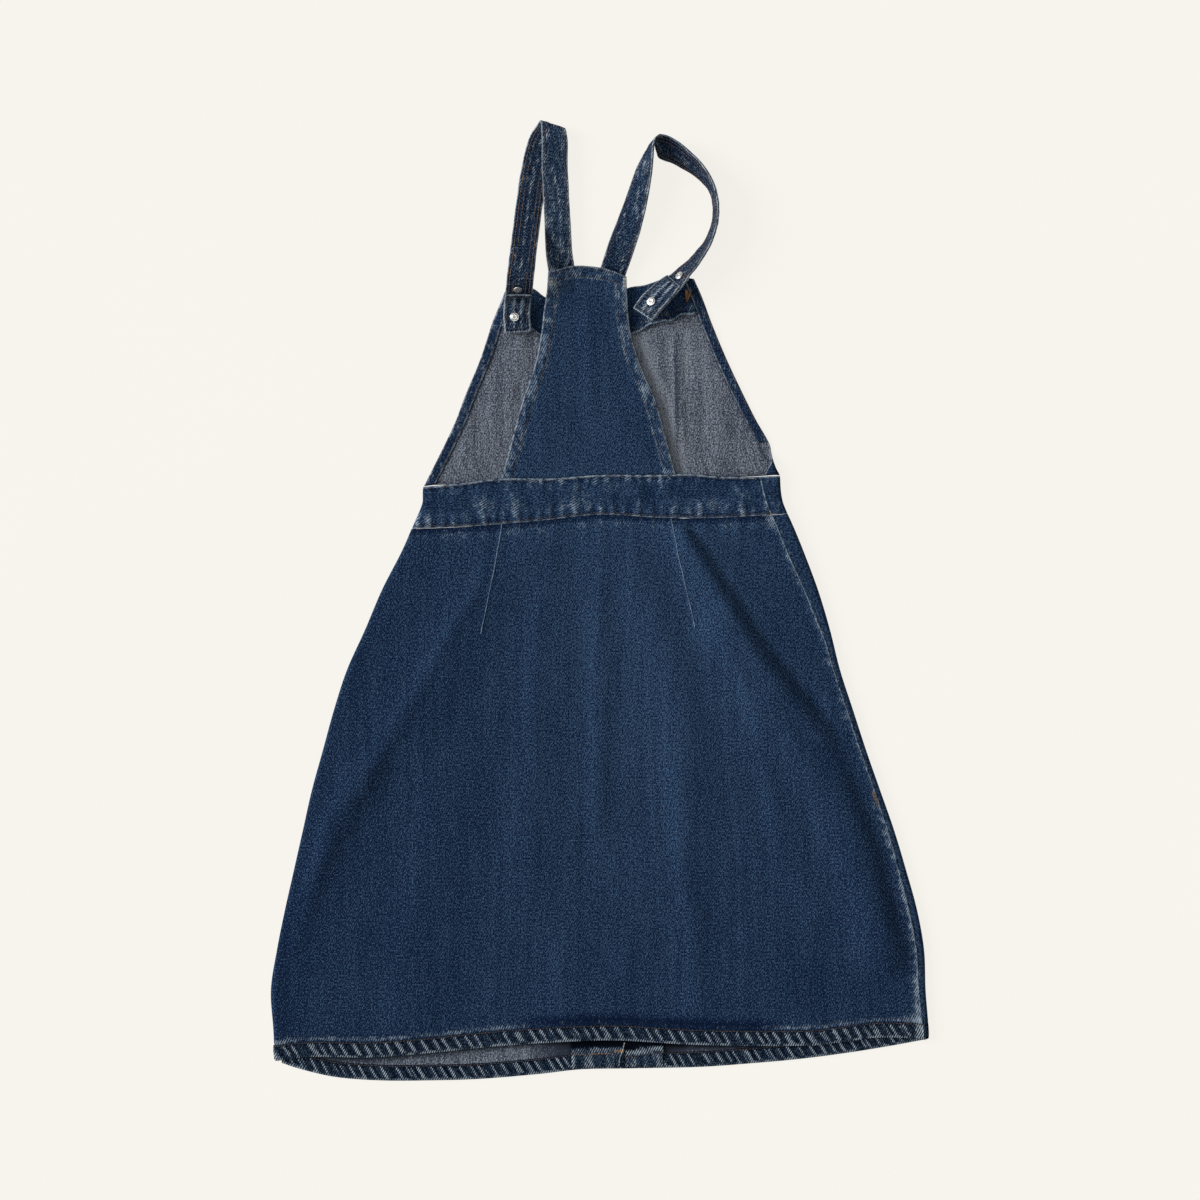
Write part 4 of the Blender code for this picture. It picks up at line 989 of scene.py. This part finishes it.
def build_back_bib():
    spans = across_band([0, 0.6, 1.3, 2.2, 3.4, 5.0, 6.6, 8.2, 9.8, 11.4], 13.0, 92)

    def x_of(spans, y):
        return bib_left(y) + spans[0] + spans[1] * (bib_right(y) - bib_left(y))

    shares = np.concatenate([np.linspace(0, 0.08, 16)[:-1], np.linspace(0.08, 1, 103)])
    y = columns_between(x_of, bib_top, lambda x: waistband_top(x) + GAP, spans, shares)
    x = x_of(spans, y)
    from_side = np.minimum(x - bib_left(y), bib_right(y) - x)
    from_top = bib_top(x) - y
    edge = np.minimum(from_side, from_top)
    turned_edge = 0.55 * ease(0, 1.6, edge) * (1 - ease(9.2, 11.5, edge))
    channel = -0.35 * bell(edge - 10.4, 0.9) - 0.22 * bell(edge - 1.9, 0.8)
    pucker = 0.22 * np.sin(y / 1.9 + 2 * noise(x, y, 25, 73)) * bell(from_side - 5.5, 3.5)
    gathers = 0.3 * ripples(x, 11, 74) * bell(from_top - 14, 9)
    points = np.stack([x, y, back_bib_surface(x, y) + turned_edge + channel + pucker + gathers - 0.3], -1)
    band = 1 - ease(9.5, 12.0, edge)
    corners = spot(x, y, -49, 318, 5, 6) + spot(x, y, 25, 316, 5, 6)
    blotch = noise(x, y, (4, 8), 75) + 0.6 * noise(x, y, (2, 4), 77)
    wear = (0.3 * band + 0.36 * blotch * band + (0.36 + 0.3 * blotch) * bell(edge, 1.2)
            + (0.42 + 0.2 * blotch) * bell(edge - 11.8, 1.2) + 0.45 * corners
            + 0.1 * bell(y - waistband_top(x), 10) + 0.12 * bell(from_top - 20, 14)
            + 0.16 * np.maximum(ripples(x, 11, 74), 0) * bell(from_top - 18, 9))
    shade = (0.36 * bell(edge - 10.2, 0.8) + 0.3 * bell(edge - 1.9, 0.7) + 0.3 * bell(from_top - 2.6, 0.8)
             + 0.05 * noise(x, y, 40, 76) - 0.03)
    cloth = sheet_of("bib_back", points, BIB - 0.2, wear, shade, edge - 0.5)


# ----------------------------------------------------------------- front bib

def tangent_at(y):
    radius = fold_radius(y)
    return front_right(y) - radius * np.sin(np.minimum(front_wrap(y) / radius, math.pi / 2))


def bib_width(y):
    return tangent_at(y) - front_left(y) + front_wrap(y)


def bib_lift(x, y):
    hole_x, hole_y, _ = BUTTONHOLES[0]
    lift = 3.4 * ease(31.0, 9.8, np.hypot(x - hole_x, y - hole_y))
    inside = np.minimum(x - front_left(y), front_right(y) - x)
    lift = lift + fold_sum(FRONT_BIB_FOLDS, x, y) * ease(0, 12, inside)
    return lift + (0.22 + 0.22 * noise(x, y, (16, 30), 81)) * ease(0, 14, inside)


def bib_columns(spans, top, bottom, shares, up):
    """A grid of the front bib between two lines across it, raised by up, with each point's distance
    across it from its left edge."""
    def x_of(spans, y):
        return np.minimum(front_left(y) + spans[0] + spans[1] * bib_width(y), tangent_at(y))

    y = columns_between(x_of, top, bottom, spans, shares)
    across = spans[0] + spans[1] * bib_width(y)
    tangent, radius, x = tangent_at(y), fold_radius(y), front_left(y) + across
    flat = np.stack([x, y, bib_lift(x, y) + up], -1)
    angle = (x - tangent) / radius
    turn = np.clip(angle, 0, math.pi)
    past = np.maximum(angle - math.pi, 0) * radius
    rolled = np.stack([tangent + (radius - up) * np.sin(turn) - past, y,
                       radius - (radius - up) * np.cos(turn)], -1)
    return np.where((x <= tangent)[..., None], flat, rolled), across


def build_front_bib():
    spans = across_band([0, 0.7, 1.6, 3, 5, 7, 9, FACING_WIDTH + 0.15, 12.5, 15], 17.0, 145)
    t = np.linspace(0, 1, 96)  # the rows are closer together at the bottom, where the cloth rolls up
    points, across = bib_columns(spans, front_top, front_bottom, t + 0.12 * np.sin(math.pi * t), 0.0)
    x, y = points[..., 0], points[..., 1]
    from_side = np.minimum(across, bib_width(y) - across)
    wear = 0.5 * bell(from_side, 1.2) + 0.1 * noise(x, y, 30, 82)
    # shade: painted shade in the crease lines near x = 75.5 and x = 77, painted light (below 0) that lifts the
    # back bib's cast shadow along its right edge, and painted shadow under the top facing's lower roll; besides
    # these a dark line at the armhole facings' edge, darker along the bottom edge and uneven tone
    shade = (0.34 * bell(from_side - FACING_WIDTH, 1.6) + 0.16 * bell(y - front_bottom(x), 4.0)
             + 0.06 * noise(x, y, (22, 60), 83) + 0.03 * noise(x, y, (3, 40), 79)
             + 0.2 * bell(x - (75.5 + 0.022 * (262 - y)), 1.5) * ease(286, 255, y) * ease(120, 150, y)
             - 0.5 * bell(x - bib_right(y) - 7, 9) * ease(285, 255, y)
             + 0.5 * bell(x - 77 + 0.02 * (y - 200), 1.9) * ease(140, 170, y) * ease(268, 240, y)
             + 0.3 * bell(facing_edge(x) - y - 1.6, 1.8))
    cloth = sheet_of("bib_front", points, CLOTH, wear, shade, from_side - 0.3, outward=False)
    build_bib_facings()


def build_bib_facings():
    up = CLOTH + GAP + FACING

    def grid(spans, bottom, rows):
        points, _ = bib_columns(spans, lambda x: front_top(x) - 0.6, bottom, np.linspace(0, 1, rows), up)
        return points, points[..., 0], points[..., 1]

    near = np.array([0.5, 1.2, 2.2, 3.6, 5.0, 6.4, 7.8, 8.9, 9.8, FACING_WIDTH])
    for side, spans, above_bottom, rows, length in (
            ("left", np.stack([near, 0 * near]), 0.6, 130, 0.23),
            ("right", np.stack([-near[::-1], 0 * near + 1]), 34.0, 115, 0.19)):
        points, x, y = grid(spans, lambda x: front_bottom(x) + above_bottom, rows)
        widths = np.linalg.norm(np.diff(points, axis=1), axis=2)
        column = np.concatenate([np.zeros((rows, 1)), np.cumsum(widths, 1)], 1)
        outer = column if side == "left" else column[:, -1:] - column
        points[..., 2] += 0.45 * np.sin(math.pi * np.clip(outer / FACING_WIDTH, 0, 1)) ** 0.6
        points[..., 2] += 0.14 * np.sin(y / 2.0 + 2 * noise(x, y, 20, 84))
        blotch = noise(x, y, (3, 7), 85) + 0.6 * noise(x, y, (1.8, 4), 89)
        wear = ((0.45 + 0.3 * blotch) * bell(outer, 0.9) + 0.18 + 0.3 * blotch
                + 0.4 * bell(FACING_WIDTH - outer, 0.8))
        shade = 0.18 + 0.22 * bell(outer - 8.4, 0.8)
        piece = sheet_of("armhole_facing_" + side, points, FACING, wear, shade, FACING_WIDTH - 0.3 - outer)

    points, x, y = grid(across_band([], FACING_WIDTH + 0.3, 112), facing_edge, 34)
    from_low = y - facing_edge(x)
    from_top = front_top(x) - y
    right = ease(20, 34, x)
    curl = (1.9 + 1.2 * ripples(x, 24, 86)) * ease(7, 0, from_low) * right
    points[..., 2] += curl + 0.2 * noise(x, y, 12, 87) + 0.3 * bell(from_low - 3, 2.5)
    points[..., 1] += 1.1 * ripples(x, 21, 78) * ease(6, 0, from_low) * right
    # y is a view of the points, so the noise below is read at their shifted places
    blotch = noise(x, y, 6, 88)
    wear = ((0.95 + 0.25 * blotch) * bell(from_low, 1.9) + (0.45 + 0.2 * blotch) * bell(from_top, 1.0)
            + 0.1 + 0.2 * blotch + (0.24 + 0.2 * blotch) * bell(from_low - 6.5, 2.5))
    piece = sheet_of("bib_top_facing", points, FACING, wear, 0.16 + 0.32 * bell(from_low - 3.0, 0.9),
                     nearest(from_low - 0.3, from_top - 0.3))


# -------------------------------------------------------------------- straps

def catmull_rom(a, b, c, d, t):
    return 0.5 * (2 * b + (c - a) * t + (2 * a - 5 * b + 4 * c - d) * t * t
                  + (3 * b - a - 3 * c + d) * t * t * t)


class Strap:
    """The strap's middle line, with its directions across, along and out of it."""

    def __init__(self, rows, step=1.5):
        rows = np.array(rows, float)
        centre, across, width = [], [], []
        for i in range(len(rows) - 1):
            before, after = rows[max(i - 1, 0)], rows[min(i + 2, len(rows) - 1)]
            for k in range(8 if i < len(rows) - 2 else 9):
                edges = catmull_rom(before, rows[i], rows[i + 1], after, k / 8)
                width.append(np.linalg.norm(edges[3:] - edges[:3]))
                centre.append((edges[:3] + edges[3:]) / 2)
                across.append((edges[3:] - edges[:3]) / width[-1])
        along = run_of(np.array(centre))
        self.length = along[-1]
        self.at = np.linspace(0, self.length, int(self.length / step) + 1)
        self.centre = sampled(self.at, along, np.array(centre))
        narrow = np.minimum(np.interp(self.at, along, width) / STRAP_WIDTH, 1.0)
        self.across = unit(sampled(self.at, along, np.array(across))) * narrow[:, None]
        self.normal = unit(np.cross(self.across, np.gradient(self.centre, axis=0)))

    def place(self, at, sideways, out):
        """Points at distances along, sideways and out of the strap's middle, and the way out there."""
        centre, across, normal = (sampled(at, self.at, v) for v in (self.centre, self.across, self.normal))
        sideways, out = np.asarray(sideways)[..., None], np.asarray(out)[..., None]
        return centre + across * sideways + normal * out, normal


def band_ring(width, thickness):
    """Sideways places and out-of-face places round a flat band with rounded edges."""
    half = width / 2
    inner = np.linspace(-half + 1.0, half - 1.0, 19)
    right = [(half - 0.3, 0.85), (half, 0.5), (half, 0.0), (half, -0.5), (half - 0.3, -0.85)]
    ring = np.array([(w, 1.0) for w in inner] + right + [(w, -1.0) for w in inner[::-1]]
                    + [(-w, h) for w, h in right[::-1]])
    return ring[:, 0], ring[:, 1] * thickness / 2


def ring_uv(sideways, out, at):
    arc = np.concatenate([[0], np.cumsum(np.hypot(np.diff(sideways), np.diff(out)))])
    return np.stack(np.meshgrid(arc, at), -1)


def dent(at, w, tacks, spread):
    """How far the cloth is pressed in round the tack buttons."""
    return sum(np.exp(-((at - tack_at) ** 2 + (w - tack_w) ** 2) / spread) for tack_at, tack_w in tacks)


def strap_body(strap, side, tacks, seed):
    sideways, out = band_ring(STRAP_WIDTH, STRAP)
    at = strap.at
    rings = np.empty((len(at), len(sideways), 3))
    wear, shade, line = (np.empty(rings.shape[:2]) for _ in range(3))
    # the right strap's outer face is less worn and carries painted shade, darker because the key light falls more
    # on it
    outer_wear, outer_shade = (0.2, 0.03) if side == "left" else (0.1, 0.2)
    for k, (w, h) in enumerate(zip(sideways, out)):
        outer, way = h > 0, math.copysign(1, h)
        flat = abs(h) > STRAP / 2 - 0.01
        edge = STRAP_WIDTH / 2 - abs(w)
        rub = noise(at, 0 * at + w + (0 if outer else 90), (11, 2.6), seed)
        fine = noise(at, 0 * at + w, (3.2, 1.9), seed + 1)
        height = h - 2.6 * ease(6.0, 0.5, at)
        if flat:
            pucker = 0.16 * np.sin(at / 1.7 + 2.5 * noise(at, 0 * at, 18, seed + 2)) * bell(edge - 2, 2.5)
            height = height + way * (0.3 * bell(edge - 6.5, 3.0) - 0.25 * bell(edge - 3.2, 0.9) + 0.16 * rub
                                     + pucker - 0.55 * dent(at, w, tacks, 49.0))
            if not outer:
                height = height - 0.35 * bell(w - 0.8, 1.1) + 0.3 * bell(w, 0.7)
        waver = 0.25 * noise(at, 0 * at, 14, seed + 3) * (abs(w) > 12)
        rings[:, k], _ = strap.place(at, w + waver, height)
        wear[:, k] = np.clip((outer_wear if outer else 0.1 * bell(w, 5)) + 0.38 * rub * (1 if outer else 0.8)
                             + 0.4 * fine + 0.75 * bell(edge, 1.1), 0, 1)
        if not outer:
            wear[:, k] += 0.34 * bell(w + 1.2, 0.8)
        shade[:, k] = ((outer_shade if outer else 0.24) + 0.14 * bell(edge - 3.3, 0.8) + 0.06 * fine
                       - 0.12 * np.minimum(rub, 0))
        line[:, k] = min(edge - 0.2, NO_LINE)
        if h == 0:  # the seam between the strap's two layers, along its edge
            wear[:, k], shade[:, k], line[:, k] = 0.4, 0.2, NO_LINE
    # two more rings, tucked under the back bib's top edge
    back = unit(strap.centre[0] - strap.centre[2])
    # painted shade where the strap runs under the back bib's top edge
    shade += 0.3 * ease(3.2, 1.2, at)[:, None]
    rings = np.concatenate([rings[:1] + 4.0 * back, rings[:1] + 1.3 * back, rings])
    wear, shade, line = (np.concatenate([v[:1], v[:1], v]) for v in (wear, shade, line))
    uv = ring_uv(sideways, out, np.concatenate([[-4.0, -1.3], at]))
    body = ring_mesh("strap_%s_cloth" % side, rings, uv, wear, shade, line, STRAP_CLOTH)
    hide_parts("strap_" + side)
    return body


def strap_tab(strap, side, tacks, seed):
    """The strap's end, turned back onto its inner face and box-stitched."""
    start, stop, width = strap.length - TAB_LENGTH, strap.length + 0.8, STRAP_WIDTH - 0.8
    at = np.linspace(start, stop, 34)
    sideways, out = band_ring(width, 2.0)
    rings = np.empty((len(at), len(sideways), 3))
    wear, shade, line = (np.empty(rings.shape[:2]) for _ in range(3))
    from_end = np.minimum(at - start, stop - at)
    thin = np.clip(0.45 + 0.55 * np.sqrt(np.clip(from_end / 1.4, 0, 1)), 0, 1)
    inside = np.clip(at, 0, strap.length)
    ahead = unit(strap.centre[-1] - strap.centre[-3])
    broken = 0.5 + 0.5 * noise(at, 0 * at, 6, seed + 6)
    box = ease(2.5, 5.0, from_end)
    free = ease(0.1 * TAB_LENGTH, 0.6 * TAB_LENGTH, at - start)
    for k, (w, h) in enumerate(zip(sideways, out)):
        near = np.minimum(width / 2 - abs(w), from_end)
        rub = noise(at, 0 * at + w, (8, 4), seed + 5)
        height = -(STRAP / 2 + 1.15) + h * thin
        if h < -0.99:
            height = height + 0.3 * bell(near - 3.2, 0.9) - 0.14 * rub
        if h < 0:
            height = height + 0.45 * dent(at, w, tacks, 42.0)
        rings[:, k], _ = strap.place(inside, w, height)
        rings[:, k] += (at - inside)[:, None] * ahead
        wear[:, k] = np.clip(0.2 + 0.2 * rub + (0.15 + 0.7 * free) * bell(near, 1.1)
                             + box * (0.5 + 0.4 * broken) * bell(w + 3.2, 1.1)
                             + box * (0.3 + 0.5 * broken) * bell(w - 4.2, 1.1), 0, 1)
        shade[:, k] = (0.08 + 0.3 * bell(near - 3.0, 0.8) + 0.55 * box * bell(w - 0.4, 1.9)
                       + 0.25 * box * bell(abs(w) - 8.2, 1.0))
        line[:, k] = np.minimum(near - 0.3, NO_LINE)
        if h == 0:
            wear[:, k], shade[:, k], line[:, k] = 0.0, 0.5, NO_LINE
    return ring_mesh("strap_tab_" + side, rings, ring_uv(sideways, out, at), wear, shade, line, STRAP_CLOTH)


def strap_stitches(strap, side):
    start, edge, top = strap.length - TAB_LENGTH, STRAP_WIDTH / 2, -(STRAP / 2 + 2.1)

    def row(at, w, height):
        path, normal = strap.place(at, w, height)
        return path, normal * math.copysign(1, np.max(height))

    inner = [row(np.arange(8.0, start - 1.0, 1.5), w, -STRAP / 2 - 0.05) for w in (-10.2, -6.4, 6.4, 10.2)]
    outer = [row(np.arange(8.0, strap.length - 2.0, 1.5), w, STRAP / 2 - 0.05)
             for w in (-edge + 3.2, edge - 3.2)]
    box = [row(np.arange(start + 3.0, strap.length - 3.0, 1.5), w, top) for w in (-edge + 3.6, edge - 3.6)]
    box += [row(np.full(12, end), np.linspace(-edge + 3.6, edge - 3.6, 12), np.full(12, top))
            for end in (start + 3.2, strap.length - 3.2)]
    stitches("strap_stitches_inner_" + side, inner, TAN, 3.1, 2.5, 0.75)
    stitches("strap_stitches_outer_" + side, outer, BROWN, 3.1, 2.4, 0.7)
    stitches("strap_stitches_tab_" + side, box, BROWN, 3.1, 2.4, 0.7)


def build_strap(side, rows, seed):
    strap = Strap(rows)
    tacks = [(strap.length - from_end, w) for from_end, w in TACK_PLACES[side]]
    body = strap_body(strap, side, tacks, seed)
    tab = strap_tab(strap, side, tacks, seed)
    strap_stitches(strap, side)


# -------------------------------------------------------------- tack buttons

def turned(name, profile, centre, axis, material, steps=40):
    """A turned piece: a profile of (radius, height) from its top down, about an axis."""
    axis = Vector(axis).normalized()
    side = axis.orthogonal().normalized()
    other = axis.cross(side)
    points, faces = [], []
    for radius, height in profile:
        middle = Vector(centre) + axis * height
        turns = [2 * math.pi * k / steps for k in range(steps)] if radius else []
        points += [tuple(middle + (side * math.cos(turn) + other * math.sin(turn)) * radius) for turn in turns]
        points += [] if radius else [tuple(middle)]
    rings = len(profile) - 2
    for k in range(steps):
        j = (k + 1) % steps
        faces.append((0, 1 + k, 1 + j))
        for i in range(rings - 1):
            a, b = 1 + i * steps, 1 + (i + 1) * steps
            faces.append((a + k, b + k, b + j, a + j))
        last = 1 + (rings - 1) * steps
        faces.append((last + k, len(points) - 1, last + j))
    return put_on(add_mesh(name, points, faces, [material]))


def build_tacks():
    """The tacks' backs, each about the shortest way through its CAD node, and steel for the heads."""
    for label in ("left_lower", "left_upper", "right_lower", "right_upper"):
        node = "tack_back_" + label
        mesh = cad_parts[node].data
        points = np.empty(len(mesh.vertices) * 3)
        mesh.vertices.foreach_get("co", points)
        points = points.reshape(-1, 3) / MM
        middle = points.mean(0)
        _, _, axes = np.linalg.svd(points - middle, full_matrices=False)
        axis = np.array(Vector(axes[2]))
        if axis[2] < 0:
            axis = -axis
        centre = middle - axis * (middle @ axis - (points @ axis).min())
        piece = turned("tack_disc_" + label, TACK_PROFILE, centre, axis, STEEL)
        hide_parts(node)
        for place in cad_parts["tack_button_" + label].material_slots:
            place.material = STEEL


# ----------------------------------------------------------- stitching lines

def band_z(x, y):
    relief, _, _ = band_relief(x, y, waistband_top(x), waist_seam(x))
    return back_height(x, y) + relief


def on_bib(height):
    return lambda x, y: bib_lift(x, y) + height


def build_hem_stitches(hem_at):
    place, out = hem_at(HEM_STITCHES)
    top = out[:, 2] > 0.5
    stitches("stitches_hem_back", [(place[top] + out[top] * 0.75, out[top])], BROWN, 3.4, 2.6, 0.8)
    x = steps(-316.0, 326.0)
    stitches("stitches_hem_front", [flat_line(x, front_hem(x) + HEM_STITCHES, 3.0)], BROWN, 3.4, 2.6, 0.8)
    x = steps(-26.0, 16.0)
    stitches("stitches_facing_gold", [flat_line(x, front_hem(x) + 14.2, 4.45)], GOLD, 3.3, 2.3, 0.65)
    x = steps(27.0, 66.0)
    dark = flat_line(x, front_hem(x) + lerp(10.4, 15.0, (x - 26) / 38), 4.45)
    stitches("stitches_facing_dark", [dark], BROWN, 3.2, 2.5, 0.85)
    x = np.linspace(13.5, 24.5, 6)
    bars = [flat_line(x, -450.4 + 0.12 * (x - 13.5) + shift, 4.7) for shift in (-1.8, -0.6)]
    bars += [flat_line([x, x + 0.8], [-448.4, -453.6], 5.0) for x in (15.2, 20.4)]
    stitches("bartack_centre_front", bars, GOLD, 3.4, 2.8, 0.65)
    tail = flat_line([24.6, 23.0, 19.6, 19.0], [-442.0, -449.5, -458.0, -466.0], 4.9)
    stitches("thread_centre_front", [tail], PALE, 3.0, 2.9, 0.9)


def build_stitching(hem_at):
    build_hem_stitches(hem_at)
    low, high = steps(-186.0, 178.0), steps(-174.0, 160.0)
    stitches("stitches_waistband", [flat_line(low, waist_seam(low) + 2.4, band_z),
                                    flat_line(high, waistband_top(high) - 2.2, band_z)], BROWN, 3.3, 2.5, 0.75)
    lines = []
    for inset in (1.9, 10.3):
        left, right, x = steps(322.0, 128.0), steps(318.0, 130.0), steps(-50.0, 24.0)
        lines += [flat_line(bib_left(left) + inset, left, back_bib_surface),
                  flat_line(bib_right(right) - inset, right, back_bib_surface),
                  flat_line(x, bib_top(x) - inset - 0.6, back_bib_surface)]
    stitches("stitches_bib_back", lines, BROWN, 3.0, 2.3, 0.7)

    left, right, lines = steps(300.0, 118.0), steps(312.0, 160.0), []
    for inset in (1.8, 8.6):
        lines += [flat_line(front_left(left) + inset, left, on_bib(2.75)),
                  flat_line(front_right(right) - inset, right, on_bib(2.75))]
    stitches("stitches_armholes", lines, BROWN, 3.1, 2.3, 0.6)

    lines = []
    for dart in DARTS:
        y = np.linspace(dart[0][1], dart[2][1], 60)
        x = np.interp(-y, [-p[1] for p in dart], [p[0] for p in dart]) + 0.35 * noise(0 * y, y, 9, 59)
        lines.append(flat_line(x, y, back_height(x, y) + 0.45))
    stitches("dart_ridges", lines, RIDGE, 2.5, 2.7, 0.8)

    left, right, lines = steps(-86.0, -64.0), steps(28.0, 88.0), []
    for inset in (2.4, 6.5):
        lines += [flat_line(left, facing_edge(left) + inset, on_bib(2.8)),
                  flat_line(right, facing_edge(right) + inset, on_bib(3.4))]
    stitches("stitches_top_facing", lines, BROWN, 3.1, 2.3, 0.7)

    lines = []
    for hole_x, hole_y, lean in BUTTONHOLES:
        lean = math.radians(lean)
        for k in range(20):
            v = lerp(-1.0, 10.5, k / 19)
            half = lerp(0.6, 3.4, min((v + 1.0) / 9.0, 1.0))
            for way in (-1, 1):
                u, w = np.array([0.1 * way, half * way]), v + 0.35 * way
                lines.append(flat_line(hole_x + u * math.cos(lean) - w * math.sin(lean),
                                       hole_y + u * math.sin(lean) + w * math.cos(lean), on_bib(2.5)))
    stitches("stitches_buttonholes", lines, GOLD, 4.0, 3.0, 0.75)

    y = np.linspace(-191.0, -208.0, 7)
    bars = [seam_at(y) - 2.5 + shift for shift in (-0.8, 0.0, 0.8)]
    stitches("bartack_side", [flat_line(x, y, back_height(x, y) + 0.9) for x in bars], TAN, 3.2, 3.4, 0.7)
    lines = []
    for x, centre_y in ((-49.0, 318.0), (25.0, 317.0)):
        y = np.linspace(centre_y - 5, centre_y + 5, 5)
        for shift in (-1.4, -0.5, 0.4, 1.3):
            lines.append(flat_line(x + shift, y, lambda x, y: back_bib_surface(x, y) + 0.6))
    stitches("bartacks_bib_back", lines, PALE, 3.0, 2.9, 0.75)


# --------------------------------------------------------------------- stage

FLOOR_HALF, FLOOR_Z = 4000, -0.4  # mm
CAMERA_HEIGHT, CAMERA_LENS = 8.25, 247.5


def build_stage():
    corners = [(x * FLOOR_HALF, y * FLOOR_HALF, FLOOR_Z) for x, y in ((-1, -1), (1, -1), (1, 1), (-1, 1))]
    net = Net("pale_floor")
    cloud = net.noise(net.scaled(net.add("TexCoord").outputs["Object"], 0.5, 0.5), 2.0)
    glow = net.mix(net.step(0.2, 0.8, cloud), (0.926, 0.901, 0.851, 1), (0.932, 0.907, 0.857, 1))
    net.shade(Emission_Color=glow, Emission_Strength=0.92, Base_Color=(0.074, 0.072, 0.068, 1),
              Roughness=1.0, Specular_IOR_Level=0.0)
    add_mesh("floor", corners, [(0, 1, 2, 3)], [net.material])

    scene = bpy.context.scene
    scene.view_settings.view_transform = "Standard"
    world = bpy.data.worlds.new("soft_room")
    world.use_nodes = True
    world.node_tree.nodes["Background"].inputs["Color"].default_value = (1.0, 0.995, 0.985, 1)
    world.node_tree.nodes["Background"].inputs["Strength"].default_value = 0.24
    scene.world = world
    sun = bpy.data.lights.new("key", "SUN")
    sun.energy = 4.4
    sun.angle = math.radians(38)
    key = bpy.data.objects.new("key", sun)
    key.rotation_euler = Vector((-0.93, 0.20, 0.50)).to_track_quat("Z", "Y").to_euler()
    panel = bpy.data.lights.new("overhead", "AREA")
    panel.size = 1.5
    panel.energy = 20.0
    above = bpy.data.objects.new("overhead", panel)
    above.location = (0.0, 0.0, 3.5)
    above.visible_camera = False

    camera = bpy.data.cameras.new("camera")
    camera.lens = CAMERA_LENS
    camera.sensor_width = 36.0
    camera.clip_end = 40.0
    eye = bpy.data.objects.new("camera", camera)
    eye.location = (0.0, 0.0, CAMERA_HEIGHT)
    for thing in (key, above, eye):
        scene.collection.objects.link(thing)
    scene.camera = eye


def main():
    build_stage()
    hem_at = build_skirt_back()
    build_skirt_front()
    build_front_facings()
    build_waistband()
    build_back_bib()
    build_front_bib()
    build_strap("left", LEFT_STRAP, 91)
    build_strap("right", RIGHT_STRAP, 95)
    build_tacks()
    build_stitching(hem_at)


main()
